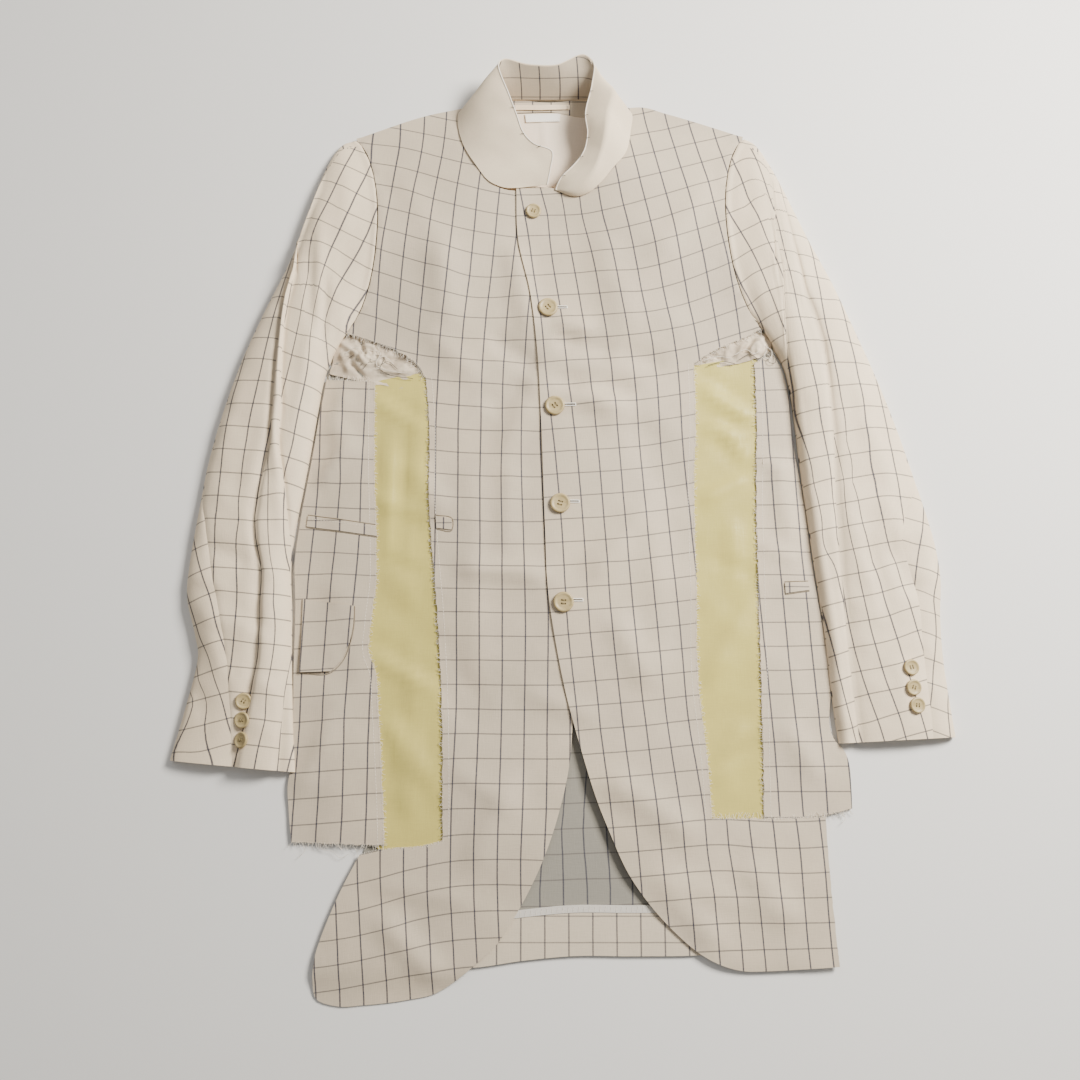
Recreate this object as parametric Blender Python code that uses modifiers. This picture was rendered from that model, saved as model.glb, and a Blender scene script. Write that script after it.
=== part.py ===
# Cut-open windowpane jacket, laid out on its back: front up, collar towards +Y, wearer's left at +X.
# Lengths in the tables are millimetres on the table the jacket lies on; place() makes them metres.
import math

import bmesh
import bpy
from mathutils import Vector

MM = 0.001
ORIGIN = Vector((21.9, 517.5))      # the middle of the whole outline, in the tables' millimetres

# Cloth
CLOTH = 1.5                         # wall of the checked cloth, doubled at its edges
LINING = 1.2                        # wall of hem, tape and lining
GAP = 0.4                           # air between pieces that are sewn or lie together
CREASE_PITCH = 24.0                 # every panel is creased along one common grid
FLAT_PITCH = 70.0                   # the same for pieces that lie flat
CUT_TOLERANCE = 0.2
HEM_LEVEL = CLOTH + GAP
FRONT_LEVEL = HEM_LEVEL + LINING + GAP
OVERLAP_LIFT = CLOTH + GAP          # the left front lies over the right one
POCKET_LIFT = CLOTH + GAP

# Shoulders: both slope down from the neck and the cloth rolls over them to the back
NECK_X = 6.0
NECK_HALF = 90.0
NECK_POINT_Y = 954.0
SHOULDER_SLOPE = 0.31
SHOULDER_ROLL = 34.0                # width of the roll
SHOULDER_TUCK = 1.4                 # how far the roll comes down to the back's edge
HEM_DROP_START = 74.0               # below this line the fronts run past the back, down to the table
HEM_DROP_END = 48.0
LEFT_DROP_START = 76.0              # the same for the left front, which also has the turned hem's edge
LEFT_DROP_END = 56.0
OVERLAP_FROM_X = 72.0               # the left front's lift fades out between these
OVERLAP_TO_X = 140.0
SIDES_MIDDLE_X = 24.0
SIDE_ROLL_FROM = 222.0              # beyond this distance the side panels roll down to the back
SIDE_ROLL_DROP = 1.5
SIDE_ROLL = 22.0

# Fullness of the chest and body over the flat back: x, y, half width, half length, height
FULLNESS = [
    (-112.0, 800.0, 62.0, 100.0, 11.0),
    (128.0, 800.0, 62.0, 100.0, 11.0),
    (-186.0, 790.0, 40.0, 78.0, 8.0),
    (212.0, 790.0, 40.0, 78.0, 8.0),
    (-52.0, 880.0, 44.0, 46.0, 8.0),
    (66.0, 880.0, 44.0, 46.0, 8.0),
    (8.0, 640.0, 105.0, 130.0, 5.0),
    (10.0, 430.0, 95.0, 110.0, 4.5),
    (-45.0, 225.0, 60.0, 75.0, 3.5),
    (105.0, 225.0, 60.0, 75.0, 3.5),
]
CREASE_FADE = 3.0                   # how fast a crease dies out at its ends
CREASE_END = 0.3                    # part of its height that is left there
# Largest creases of the fronts: start x, y, end x, y, half width, height
CREASES = [
    (48.0, 438.0, 106.0, 515.0, 15.0, 3.0),
    (-86.0, 447.0, 4.0, 441.0, 13.0, 2.5),
    (40.0, 640.0, 84.0, 600.0, 14.0, 2.0),
    (-30.0, 790.0, -8.0, 690.0, 13.0, 2.5),
]

# Outlines: x, y
NECKLINE_RIGHT = [(-84.0, 952.0), (-87.0, 926.0), (-80.0, 898.0), (-66.0, 873.0), (-50.0, 854.0),
                  (-36.0, 846.0), (-23.0, 848.0)]
NECKLINE_LEFT = [(-25.0, 848.0), (19.0, 846.0), (34.0, 840.0), (49.0, 843.0), (62.0, 853.0),
                 (77.0, 870.0), (89.0, 887.0), (96.0, 918.0), (97.0, 952.0)]
SHOULDER_RIGHT = [(-197.0, 916.0), (-116.0, 945.0)]
SHOULDER_LEFT = [(110.0, 953.0), (135.0, 946.0), (218.0, 918.0)]
UNDERARM_CUT_RIGHT = [(-170.0, 684.0), (-126.0, 660.0), (-117.0, 646.0)]
UNDERARM_CUT_LEFT = [(204.0, 686.0), (183.0, 677.0), (158.0, 661.0)]
FRONT_RAW_EDGE_RIGHT = [(-113.0, 604.0), (-111.0, 517.0), (-100.0, 393.0), (-94.0, 289.0),
                        (-92.0, 188.0)]
FRONT_RAW_EDGE_LEFT = [(158.0, 592.0), (155.0, 541.0), (154.5, 430.0), (154.0, 329.0), (158.0, 290.0),
                       (163.0, 208.0)]
SKIRT_RIGHT = [(-106.0, 184.0), (-154.0, 179.0), (-170.0, 175.0), (-184.0, 148.0), (-198.0, 116.0),
               (-209.0, 81.0), (-210.0, 61.0), (-208.0, 48.0), (-187.0, 40.0), (-163.0, 41.0),
               (-120.0, 46.0), (-97.0, 51.0), (-83.0, 59.0), (-61.0, 76.0), (-40.0, 95.0),
               (-23.0, 120.0), (1.0, 166.0), (20.0, 221.0), (29.0, 265.0), (31.0, 290.0)]
SKIRT_LEFT = [(214.0, 208.0), (271.0, 210.0), (272.0, 162.0), (277.0, 75.0), (246.0, 73.0),
              (209.0, 71.0), (189.0, 71.0), (169.0, 76.0), (149.0, 86.0), (127.0, 104.0),
              (106.0, 126.0), (83.0, 158.0), (66.0, 195.0), (54.0, 225.0), (40.0, 270.0), (34.0, 291.0)]
FRONT_EDGE_RIGHT = [(39.0, 414.0), (38.0, 513.0), (34.0, 614.0), (26.0, 720.0), (12.0, 829.0),
                    (8.0, 846.0)]
FRONT_EDGE_LEFT = [(28.0, 313.0), (16.0, 371.0), (8.0, 425.0), (5.0, 490.0), (1.0, 603.0),
                   (-3.0, 677.0), (-10.0, 736.0), (-23.0, 798.0)]
SIDE_FOLD_RIGHT = [(-209.5, 668.0), (-219.0, 645.0), (-224.0, 610.0), (-228.0, 579.0),
                   (-235.0, 530.0), (-241.0, 485.0), (-243.5, 454.0), (-241.5, 423.0), (-240.0, 350.0),
                   (-236.0, 300.0), (-232.0, 251.0), (-240.5, 245.0), (-239.0, 215.0), (-235.0, 186.0)]
SIDE_FOLD_LEFT = [(240.0, 672.0), (248.0, 652.0), (252.0, 631.0), (254.0, 611.0),
                  (255.0, 567.0), (260.0, 519.0), (270.0, 410.0), (276.0, 374.0), (279.0, 333.0),
                  (283.5, 279.0), (291.0, 273.0), (297.0, 234.0), (297.0, 217.0)]
BACK_SKIRT_RIGHT = [(-165.0, 186.0), (-186.0, 78.0), (-120.0, 74.0), (-61.0, 74.0), (-16.0, 80.0)]
BACK_SKIRT_LEFT = [(262.0, 207.0), (262.0, 98.0), (200.0, 90.0), (150.0, 85.0), (86.0, 84.0),
                   (28.0, 84.0)]
BACK_NECKLINE = [(97.0, 954.0), (60.0, 962.0), (5.0, 965.0), (-48.0, 962.0), (-84.0, 953.0)]
INSERT_RIGHT = [(-168.0, 642.0), (-118.5, 644.5), (-114.0, 604.0), (-112.0, 517.0), (-101.0, 393.0),
                (-95.0, 289.0), (-93.0, 189.0), (-146.0, 183.5), (-149.0, 232.0), (-156.0, 318.0),
                (-159.0, 347.0), (-165.5, 364.0), (-165.0, 393.0), (-161.0, 439.0), (-162.0, 470.0),
                (-167.0, 580.0)]
INSERT_LEFT = [(159.0, 659.0), (219.5, 662.0), (219.0, 592.0), (216.0, 519.0), (214.5, 410.0),
               (213.5, 312.0), (212.0, 209.0), (164.0, 209.0), (159.0, 290.0), (155.0, 329.0),
               (155.5, 430.0), (156.0, 541.0), (159.0, 592.0)]
SIDE_RAW_EDGE_RIGHT = [(-147.0, 183.5), (-150.0, 232.0), (-157.0, 318.0), (-160.0, 347.0),
                       (-166.5, 364.0), (-166.0, 393.0), (-162.0, 439.0), (-163.0, 470.0),
                       (-168.0, 580.0), (-169.0, 642.0)]
SIDE_RAW_EDGE_LEFT = [(213.0, 209.0), (214.5, 312.0), (215.5, 410.0), (217.0, 519.0), (220.0, 592.0),
                      (220.5, 662.5), (232.0, 668.0)]

# Pockets: x, y, on the side panels and on the right front
TICKET_WELT = [(-233.0, 491.0), (-162.0, 481.0), (-164.0, 492.0), (-232.0, 502.0)]
WELT_REMNANT = [(-103.0, 489.0), (-88.0, 487.0), (-88.0, 498.0), (-104.0, 501.0)]
POCKET_FLAP = [(-233.5, 346.0), (-203.0, 347.0), (-193.0, 358.0), (-186.0, 375.0), (-183.0, 393.0),
               (-183.0, 411.0), (-233.5, 418.0)]
WELT_LEFT = [(242.0, 423.5), (266.0, 427.0), (265.0, 435.0), (241.5, 434.0)]

# Hem and tape of the back, inside: the tape covers the top of the turned-up hem
HEM_DEPTH = 38.0
TAPE_WIDTH = 6.5

# Inside of the back neck
NECK_LINING = [(-30.0, 846.5), (-44.0, 856.0), (-60.0, 877.0), (-74.0, 900.0), (-80.0, 926.0),
               (-74.0, 943.0), (-40.0, 945.5), (10.0, 947.0), (60.0, 946.0), (84.0, 942.0),
               (90.0, 918.0), (83.0, 890.0), (71.0, 873.0), (56.0, 856.0), (44.0, 847.0)]
FACING = [(-42.0, 946.5), (10.0, 948.0), (58.0, 947.0), (62.0, 957.0), (10.0, 959.0), (-46.0, 956.5)]
HANGER_LOOP = [(-29.0, 950.0), (32.0, 950.5), (32.0, 956.0), (-29.0, 955.5)]
NECK_LABEL = [(-15.0, 935.5), (21.0, 936.5), (22.0, 945.5), (-16.0, 945.0)]

# Crumpled lining in the cut under each arm: x, y, and its swirls as x, y, radius, height
ARMHOLE_LINING_RIGHT = [(-214.0, 651.0), (-170.0, 645.0), (-121.0, 647.0), (-130.0, 658.0),
                        (-172.0, 681.0), (-196.0, 690.0), (-206.0, 680.0)]
ARMHOLE_LINING_LEFT = [(224.0, 669.0), (160.0, 662.0), (184.0, 674.0), (205.0, 683.0), (230.0, 692.0),
                       (237.0, 678.0)]
SWIRLS_RIGHT = [(-183.0, 668.0, 14.0, 6.0), (-160.0, 662.0, 10.0, 4.0), (-198.0, 668.0, 9.0, 4.0)]
SWIRLS_LEFT = [(222.0, 678.0, 12.0, 5.0), (190.0, 670.0, 12.0, 3.0)]

# Sleeves: a row for each section, shoulder to cuff. Outer edge x, y, inner edge x, y, height of the
# filled sleeve, place of the fold along the section from 0 outside to 1 inside, and its height
RIGHT_SLEEVE = [
    (-198.0, 913.0, -202.5, 694.0, 17.0, 0.50, 0.0),
    (-213.0, 907.0, -207.5, 682.0, 19.0, 0.56, 0.0),
    (-228.0, 880.0, -214.0, 667.0, 21.0, 0.62, 1.0),
    (-244.0, 831.0, -221.5, 643.0, 23.0, 0.70, 3.0),
    (-261.0, 775.0, -226.5, 608.0, 23.0, 0.74, 4.0),
    (-285.0, 719.0, -231.0, 573.0, 22.0, 0.74, 5.0),
    (-306.0, 665.0, -238.0, 525.0, 21.0, 0.72, 5.0),
    (-322.0, 611.0, -244.0, 485.0, 20.0, 0.68, 5.0),
    (-334.0, 559.0, -246.5, 448.0, 19.0, 0.66, 4.0),
    (-341.0, 507.0, -244.5, 416.0, 19.0, 0.62, 4.0),
    (-347.0, 456.0, -243.0, 386.0, 18.0, 0.58, 3.0),
    (-348.0, 420.0, -242.0, 360.0, 18.0, 0.42, 4.0),
    (-338.0, 383.0, -240.5, 334.0, 17.0, 0.34, 4.0),
    (-334.0, 358.0, -239.5, 318.0, 17.0, 0.30, 3.0),
    (-343.0, 312.0, -237.5, 286.0, 15.0, 0.26, 3.0),
    (-355.0, 262.0, -234.0, 251.0, 13.0, 0.22, 2.0),
]
LEFT_SLEEVE = [
    (219.0, 915.0, 232.5, 699.0, 17.0, 0.50, 0.0),
    (231.0, 908.0, 238.0, 687.0, 19.0, 0.60, 1.0),
    (247.0, 880.0, 244.0, 672.0, 21.0, 0.66, 2.0),
    (263.0, 842.0, 251.5, 652.0, 23.0, 0.74, 4.0),
    (282.0, 797.0, 256.5, 622.0, 23.0, 0.78, 5.0),
    (305.0, 747.0, 259.0, 592.0, 22.0, 0.78, 6.0),
    (327.0, 692.0, 261.5, 558.0, 21.0, 0.78, 6.0),
    (347.0, 638.0, 264.5, 522.0, 20.0, 0.76, 5.0),
    (364.0, 585.0, 268.5, 483.0, 19.0, 0.74, 4.0),
    (378.0, 533.0, 272.0, 447.0, 19.0, 0.72, 4.0),
    (391.0, 482.0, 275.5, 413.0, 18.0, 0.40, 5.0),
    (396.0, 440.0, 278.5, 385.0, 18.0, 0.36, 5.0),
    (393.0, 400.0, 280.5, 358.0, 17.0, 0.62, 3.0),
    (393.0, 360.0, 282.0, 332.0, 16.0, 0.66, 3.0),
    (396.0, 322.0, 284.0, 305.0, 15.0, 0.68, 3.0),
    (400.0, 284.0, 287.0, 278.0, 13.0, 0.70, 2.0),
]
ARMHOLE_BOW = 30.0                  # how far the armhole bends into the body between its two ends
ARMHOLE_ROUNDNESS = 1.3
SEAM_GAP = 0.6
ARMHOLE_GAP = 1.2
SLEEVE_EDGE = 4.5                   # height of the folded edges of a laid sleeve
SLEEVE_FULLNESS = 0.8               # under 1 the top is flatter in its middle and rounder at its edges
SLEEVE_FOLD = 0.10                  # half width of the long fold, as a part of the section's width
ARMHOLE_ROWS = 3.0                  # sections over which the armhole's bend dies out
SLEEVE_TOP_POINTS = 13
SLEEVE_UNDER_POINTS = 7
TOP_SLEEVE_POINTS = 13
UNDER_SLEEVE_POINTS = 13
FORE_SEAM = 0.90                    # of the way in, under the sleeve
# Hind seam on top of each sleeve, as a part of the section's width, shoulder to cuff
HIND_SEAM_AT_SHOULDER = 0.03
HIND_SEAM_AT_CUFF_RIGHT = 0.47
HIND_SEAM_AT_CUFF_LEFT = 0.20
HIND_SEAM_TURN = 10                 # the section where the seam leaves the outer edge
HIND_SEAM_SPEED = 1.6               # above 1 it reaches its place well before the cuff

# Collar: a row for each section round the neck. Seam x, y, crest x, y, z, free edge x, y, z
COLLAR = [
    (-22.0, 847.0, -8.0, 853.0, 25.0, 8.0, 852.0, 23.0),
    (-36.0, 845.0, -14.0, 858.0, 27.0, 12.0, 868.0, 25.0),
    (-51.0, 853.0, -22.0, 868.0, 29.0, 14.0, 885.0, 27.0),
    (-67.0, 872.0, -36.0, 885.0, 31.0, -2.0, 893.0, 29.0),
    (-81.0, 897.0, -50.0, 906.0, 33.0, -16.0, 906.0, 31.0),
    (-88.0, 926.0, -60.0, 930.0, 34.0, -25.0, 930.0, 32.0),
    (-85.0, 947.0, -69.0, 952.0, 34.0, -36.0, 958.0, 34.0),
    (-64.0, 959.0, -62.0, 968.0, 27.0, -44.0, 981.0, 36.0),
    (-38.0, 961.5, -38.0, 974.0, 20.0, -38.0, 990.0, 35.0),
    (-10.0, 962.5, -10.0, 973.0, 18.0, -11.0, 985.0, 33.0),
    (20.0, 962.5, 20.0, 973.0, 18.0, 18.0, 985.0, 33.0),
    (52.0, 961.5, 50.0, 974.0, 21.0, 46.0, 995.0, 35.0),
    (78.0, 958.0, 70.0, 967.0, 28.0, 57.0, 984.0, 36.0),
    (97.0, 947.0, 78.0, 953.0, 36.0, 55.0, 963.0, 31.0),
    (97.0, 917.0, 72.0, 926.0, 38.0, 48.0, 932.0, 28.0),
    (90.0, 886.0, 68.0, 899.0, 37.0, 50.0, 907.0, 26.0),
    (78.0, 869.0, 61.0, 880.0, 33.0, 46.0, 888.0, 24.0),
    (63.0, 852.0, 49.0, 864.0, 30.0, 34.0, 871.0, 24.0),
    (49.0, 842.0, 38.0, 854.0, 28.0, 25.0, 859.0, 23.0),
    (34.0, 839.0, 27.0, 849.0, 26.0, 18.0, 851.0, 23.0),
]
COLLAR_ROWS = 7
BACK_NECK_Y = 956.0                 # behind this line the collar is sewn to the back
FRONT_LEFT_FROM_X = -30.0           # from here on it is sewn to the left front

# Buttons: x, y of the middle
FRONT_BUTTON = 20.0
SMALL_BUTTON = 15.5
BUTTON_HEIGHT = 3.2
BUTTON_SIDES = 14
BUTTON_RIM = 0.2                    # of the radius
BUTTON_DISH = 0.6
BUTTON_FOOT = 0.92                  # of the radius
BUTTON_MARGIN = 2.0
SEARCH_STEPS = 8                    # a sleeve's height under a button is read at this many steps
FRONT_BUTTONS = [(-7.0, 829.0), (8.0, 720.0), (15.0, 614.0), (20.0, 513.0), (23.0, 414.0)]
CUFF_BUTTONS_RIGHT = [(-284.0, 318.0), (-284.0, 300.0), (-283.5, 281.0)]
CUFF_BUTTONS_LEFT = [(357.0, 350.0), (358.0, 331.0), (361.0, 314.0)]

# Colours, linear: red, green, blue, and roughness
CHECK_CLOTH = (0.76, 0.72, 0.62, 0.78)
WRONG_SIDE = (0.60, 0.62, 0.62, 0.82)
YELLOW_CLOTH = (0.70, 0.64, 0.31, 0.72)
UNDERCOLLAR = (0.78, 0.68, 0.54, 0.85)
CREAM_LINING = (0.77, 0.68, 0.53, 0.55)
WHITE_LABEL = (0.85, 0.85, 0.82, 0.50)
HORN_BUTTON = (0.62, 0.52, 0.32, 0.35)


def smoothstep(value):
    value = min(1.0, max(0.0, value))
    return value * value * (3.0 - 2.0 * value)


def place(x, y, z):
    return Vector(((x - ORIGIN.x) * MM, (y - ORIGIN.y) * MM, z * MM))


def ridge(x, y, x0, y0, x1, y1, half_width, height):
    """Height of a soft crease at x, y, fading out towards both of its ends."""
    along = Vector((x1 - x0, y1 - y0))
    offset = Vector((x - x0, y - y0))
    part = offset.dot(along) / along.length_squared
    across = abs(along.cross(offset)) / along.length
    fade = smoothstep(min(part, 1.0 - part) * CREASE_FADE + CREASE_END)
    return height * fade * math.exp(-((across / half_width) ** 2))


def relief(x, y):
    """How far the fronts rise above the flat back at x, y."""
    rise = 0.0
    for middle_x, middle_y, half_width, half_length, height in FULLNESS:
        reach = ((x - middle_x) / half_width) ** 2 + ((y - middle_y) / half_length) ** 2
        rise += height * math.exp(-reach)
    for crease in CREASES:
        rise += ridge(x, y, *crease)
    shoulder_y = NECK_POINT_Y - SHOULDER_SLOPE * max(0.0, abs(x - NECK_X) - NECK_HALF)
    below = smoothstep((shoulder_y - y) / SHOULDER_ROLL)
    return rise * below - SHOULDER_TUCK * (1.0 - below)


def front_height(x, y):
    """Underside of the right front, side panels and inserts."""
    past_hem = smoothstep((HEM_DROP_START - y) / (HEM_DROP_START - HEM_DROP_END))
    return (FRONT_LEVEL + relief(x, y)) * (1.0 - past_hem)


def left_front_height(x, y):
    """Underside of the left front, lifted where it laps over the right one."""
    overlap = 1.0 - smoothstep((x - OVERLAP_FROM_X) / (OVERLAP_TO_X - OVERLAP_FROM_X))
    past_hem = smoothstep((LEFT_DROP_START - y) / (LEFT_DROP_START - LEFT_DROP_END))
    return (FRONT_LEVEL + OVERLAP_LIFT * overlap + relief(x, y)) * (1.0 - past_hem)


def side_height(x, y):
    """Underside of a side panel, which rolls down to the back's edge along its fold."""
    fold = max(abs(x - SIDES_MIDDLE_X) - SIDE_ROLL_FROM, 0.0)
    return front_height(x, y) - SIDE_ROLL_DROP * smoothstep(fold / SIDE_ROLL)


def hem_height(x, y):
    return HEM_LEVEL


def on_grid(height):
    """The height function read at the crease grid's corners and flat between them."""
    corners = {}

    def corner(column, row):
        if (column, row) not in corners:
            corners[column, row] = height(column * CREASE_PITCH, row * CREASE_PITCH)
        return corners[column, row]

    def creased(x, y):
        column, u = divmod(x / CREASE_PITCH, 1.0)
        row, v = divmod(y / CREASE_PITCH, 1.0)
        column, row = int(column), int(row)
        low, high = corner(column, row), corner(column + 1, row + 1)
        if u >= v:
            side = corner(column + 1, row)
            return low + (side - low) * u + (high - side) * v
        side = corner(column, row + 1)
        return low + (side - low) * v + (high - side) * u

    return creased


def finish(name, mesh_bm, colour):
    """Store a bmesh as one named object with its own material."""
    mesh = bpy.data.meshes.new(name)
    mesh_bm.to_mesh(mesh)
    mesh_bm.free()
    made = bpy.data.objects.new(name, mesh)
    jacket.objects.link(made)
    red, green, blue, roughness = colour
    material = bpy.data.materials.new(name)
    material.use_nodes = True
    shader = material.node_tree.nodes["Principled BSDF"]
    shader.inputs["Base Color"].default_value = (red, green, blue, 1.0)
    shader.inputs["Roughness"].default_value = roughness
    material.diffuse_color = (red, green, blue, 1.0)
    mesh.materials.append(material)
    mesh.shade_smooth()
    mesh.set_sharp_from_angle(angle=math.radians(40.0))
    return made


def creased_sheet(outline, creased):
    """A flat outline cut along a grid; a creased one along the diagonals too, to match its stack."""
    sheet = bmesh.new()
    corners = [sheet.verts.new((x, y, 0.0)) for x, y in outline]
    sheet.faces.new(corners)
    xs = [x for x, y in outline]
    ys = [y for x, y in outline]
    pitch = CREASE_PITCH if creased else FLAT_PITCH
    cuts = [((1.0, 0.0, 0.0), min(xs), max(xs)), ((0.0, 1.0, 0.0), min(ys), max(ys))]
    if creased:
        cuts.append(((1.0, -1.0, 0.0), min(xs) - max(ys), max(xs) - min(ys)))
    for direction, lowest, highest in cuts:
        length_squared = Vector(direction).length_squared
        for step in range(math.ceil(lowest / pitch), math.floor(highest / pitch) + 1):
            point = Vector(direction) * (step * pitch / length_squared)
            bmesh.ops.bisect_plane(sheet, geom=sheet.verts[:] + sheet.edges[:] + sheet.faces[:],
                                   dist=CUT_TOLERANCE, plane_co=point, plane_no=direction)
    return sheet


def panel(name, outline, height, colour, lift=0.0, wall=CLOTH, creased=True):
    """A cloth panel: its outline laid over the height function, with an upright wall thickness."""
    sheet = creased_sheet(outline, creased)
    bmesh.ops.triangulate(sheet, faces=sheet.faces[:], ngon_method='EAR_CLIP')
    underside = on_grid(height) if creased else height
    for vertex in sheet.verts:
        vertex.co.z = underside(vertex.co.x, vertex.co.y) + lift
    walls = bmesh.ops.extrude_face_region(sheet, geom=sheet.faces[:])
    raised = [item for item in walls["geom"] if isinstance(item, bmesh.types.BMVert)]
    bmesh.ops.translate(sheet, verts=raised, vec=(0.0, 0.0, wall))
    for vertex in sheet.verts:
        vertex.co = place(*vertex.co)
    bmesh.ops.recalc_face_normals(sheet, faces=sheet.faces[:])
    return finish(name, sheet, colour)


def make_back():
    outline = (BACK_NECKLINE + SHOULDER_RIGHT[::-1] + armhole(RIGHT_SLEEVE, ARMHOLE_BOW)
               + SIDE_FOLD_RIGHT + BACK_SKIRT_RIGHT + BACK_SKIRT_LEFT[::-1] + SIDE_FOLD_LEFT[::-1]
               + armhole(LEFT_SLEEVE, -ARMHOLE_BOW)[::-1] + SHOULDER_LEFT[::-1])
    panel("back", outline, lambda x, y: 0.0, WRONG_SIDE, creased=False)
    hem_line = BACK_SKIRT_RIGHT[1:] + BACK_SKIRT_LEFT[:0:-1]
    hem_top = [(x, y + HEM_DEPTH) for x, y in hem_line]
    tape_low = [(x, y + GAP) for x, y in hem_top]
    tape_top = [(x, y + GAP + TAPE_WIDTH) for x, y in hem_top]
    panel("back_hem", hem_line + hem_top[::-1], hem_height, CHECK_CLOTH, wall=LINING, creased=False)
    panel("hem_tape", tape_low + tape_top[::-1], hem_height, CREAM_LINING, wall=LINING,
          creased=False)


def make_neck_inside():
    panel("neck_lining", NECK_LINING, hem_height, CREAM_LINING, wall=LINING, creased=False)
    panel("neck_facing", FACING, hem_height, CHECK_CLOTH, wall=LINING, creased=False)
    over = LINING + GAP
    panel("hanger_loop", HANGER_LOOP, hem_height, CREAM_LINING, over, wall=LINING, creased=False)
    panel("neck_label", NECK_LABEL, hem_height, WHITE_LABEL, over, wall=LINING, creased=False)


def make_fronts():
    right = (NECKLINE_RIGHT[::-1] + SHOULDER_RIGHT[::-1] + armhole(RIGHT_SLEEVE, ARMHOLE_BOW)
             + UNDERARM_CUT_RIGHT + FRONT_RAW_EDGE_RIGHT + SKIRT_RIGHT + FRONT_EDGE_RIGHT)
    left = (NECKLINE_LEFT + SHOULDER_LEFT + armhole(LEFT_SLEEVE, -ARMHOLE_BOW)
            + UNDERARM_CUT_LEFT + FRONT_RAW_EDGE_LEFT
            + SKIRT_LEFT + FRONT_EDGE_LEFT)
    panel("front_right", right, front_height, CHECK_CLOTH)
    panel("front_left", left, left_front_height, CHECK_CLOTH)
    panel("welt_remnant", WELT_REMNANT, front_height, CHECK_CLOTH, POCKET_LIFT)


def make_sides():
    fold_right = [(x + GAP, y) for x, y in SIDE_FOLD_RIGHT[1:]]
    fold_left = [(x - GAP, y) for x, y in SIDE_FOLD_LEFT]
    panel("side_panel_right", fold_right + SIDE_RAW_EDGE_RIGHT, side_height, CHECK_CLOTH)
    panel("side_panel_left", SIDE_RAW_EDGE_LEFT + fold_left, side_height, CHECK_CLOTH)
    panel("insert_right", INSERT_RIGHT, front_height, YELLOW_CLOTH)
    panel("insert_left", INSERT_LEFT, front_height, YELLOW_CLOTH)
    panel("ticket_welt", TICKET_WELT, side_height, CHECK_CLOTH, POCKET_LIFT)
    panel("pocket_flap", POCKET_FLAP, side_height, CHECK_CLOTH, POCKET_LIFT)
    panel("welt_left", WELT_LEFT, side_height, CHECK_CLOTH, POCKET_LIFT)


def make_armhole_lining(name, outline, swirls):
    def crumpled(x, y):
        heights = [height * math.exp(-((x - middle_x) ** 2 + (y - middle_y) ** 2) / radius ** 2)
                   for middle_x, middle_y, radius, height in swirls]
        return HEM_LEVEL + sum(heights)

    sheet = creased_sheet(outline, creased=False)
    bmesh.ops.triangulate(sheet, faces=sheet.faces[:])
    bmesh.ops.subdivide_edges(sheet, edges=sheet.edges[:], cuts=3, use_grid_fill=True)
    bmesh.ops.triangulate(sheet, faces=sheet.faces[:])
    for vertex in sheet.verts:
        vertex.co.z = crumpled(vertex.co.x, vertex.co.y)
    walls = bmesh.ops.extrude_face_region(sheet, geom=sheet.faces[:])
    raised = [item for item in walls["geom"] if isinstance(item, bmesh.types.BMVert)]
    bmesh.ops.translate(sheet, verts=raised, vec=(0.0, 0.0, LINING))
    for vertex in sheet.verts:
        vertex.co = place(*vertex.co)
    bmesh.ops.recalc_face_normals(sheet, faces=sheet.faces[:])
    finish(name, sheet, CREAM_LINING)


def armhole_spot(row, turn, bow):
    """Plan position on a sleeve section's curved line, turn 0 at its outer end and pi at the inner."""
    outer_x, outer_y, inner_x, inner_y = row[:4]
    chord = Vector((inner_x - outer_x, inner_y - outer_y))
    into_body = Vector((-chord.y, chord.x)).normalized()
    across = 0.5 - 0.5 * math.cos(turn)
    bend = bow * max(0.0, math.sin(turn)) ** ARMHOLE_ROUNDNESS
    return Vector((outer_x, outer_y)) + chord * across + into_body * bend


def armhole(table, bow):
    """Armhole edge of the body: the sleeve's first section, a seam's gap further in."""
    outer_x, outer_y, inner_x, inner_y = table[0][:4]
    sideways = Vector((outer_y - inner_y, inner_x - outer_x)).normalized()
    inward = sideways * math.copysign(ARMHOLE_GAP, bow)
    turns = [math.pi * step / (SLEEVE_TOP_POINTS - 1) for step in range(1, SLEEVE_TOP_POINTS - 1)]
    spots = [armhole_spot(table[0], turn, bow) + inward for turn in turns]
    return [(spot.x, spot.y) for spot in spots]


def sleeve_section(row, part, bow):
    """Corner points of one sleeve section: over the top from the outer edge, back underneath."""
    height, fold_at, fold_height = row[4:]
    points = []
    for step in range(SLEEVE_TOP_POINTS):
        turn = math.pi * step / (SLEEVE_TOP_POINTS - 1)
        across = 0.5 - 0.5 * math.cos(turn)
        arch = max(0.0, math.sin(turn))
        rise = SLEEVE_EDGE + (height - SLEEVE_EDGE) * arch ** SLEEVE_FULLNESS
        rise += fold_height * math.exp(-((across - fold_at) / SLEEVE_FOLD) ** 2) * arch
        spot = armhole_spot(row, turn, bow)
        if part == 0:
            rise = front_height(spot.x, spot.y) + CLOTH
        points.append(Vector((spot.x, spot.y, rise)))
    for step in range(1, SLEEVE_UNDER_POINTS + 1):
        turn = math.pi * (1.0 - step / (SLEEVE_UNDER_POINTS + 1))
        spot = armhole_spot(row, turn, bow)
        points.append(Vector((spot.x, spot.y, 0.0)))
    return points


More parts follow.
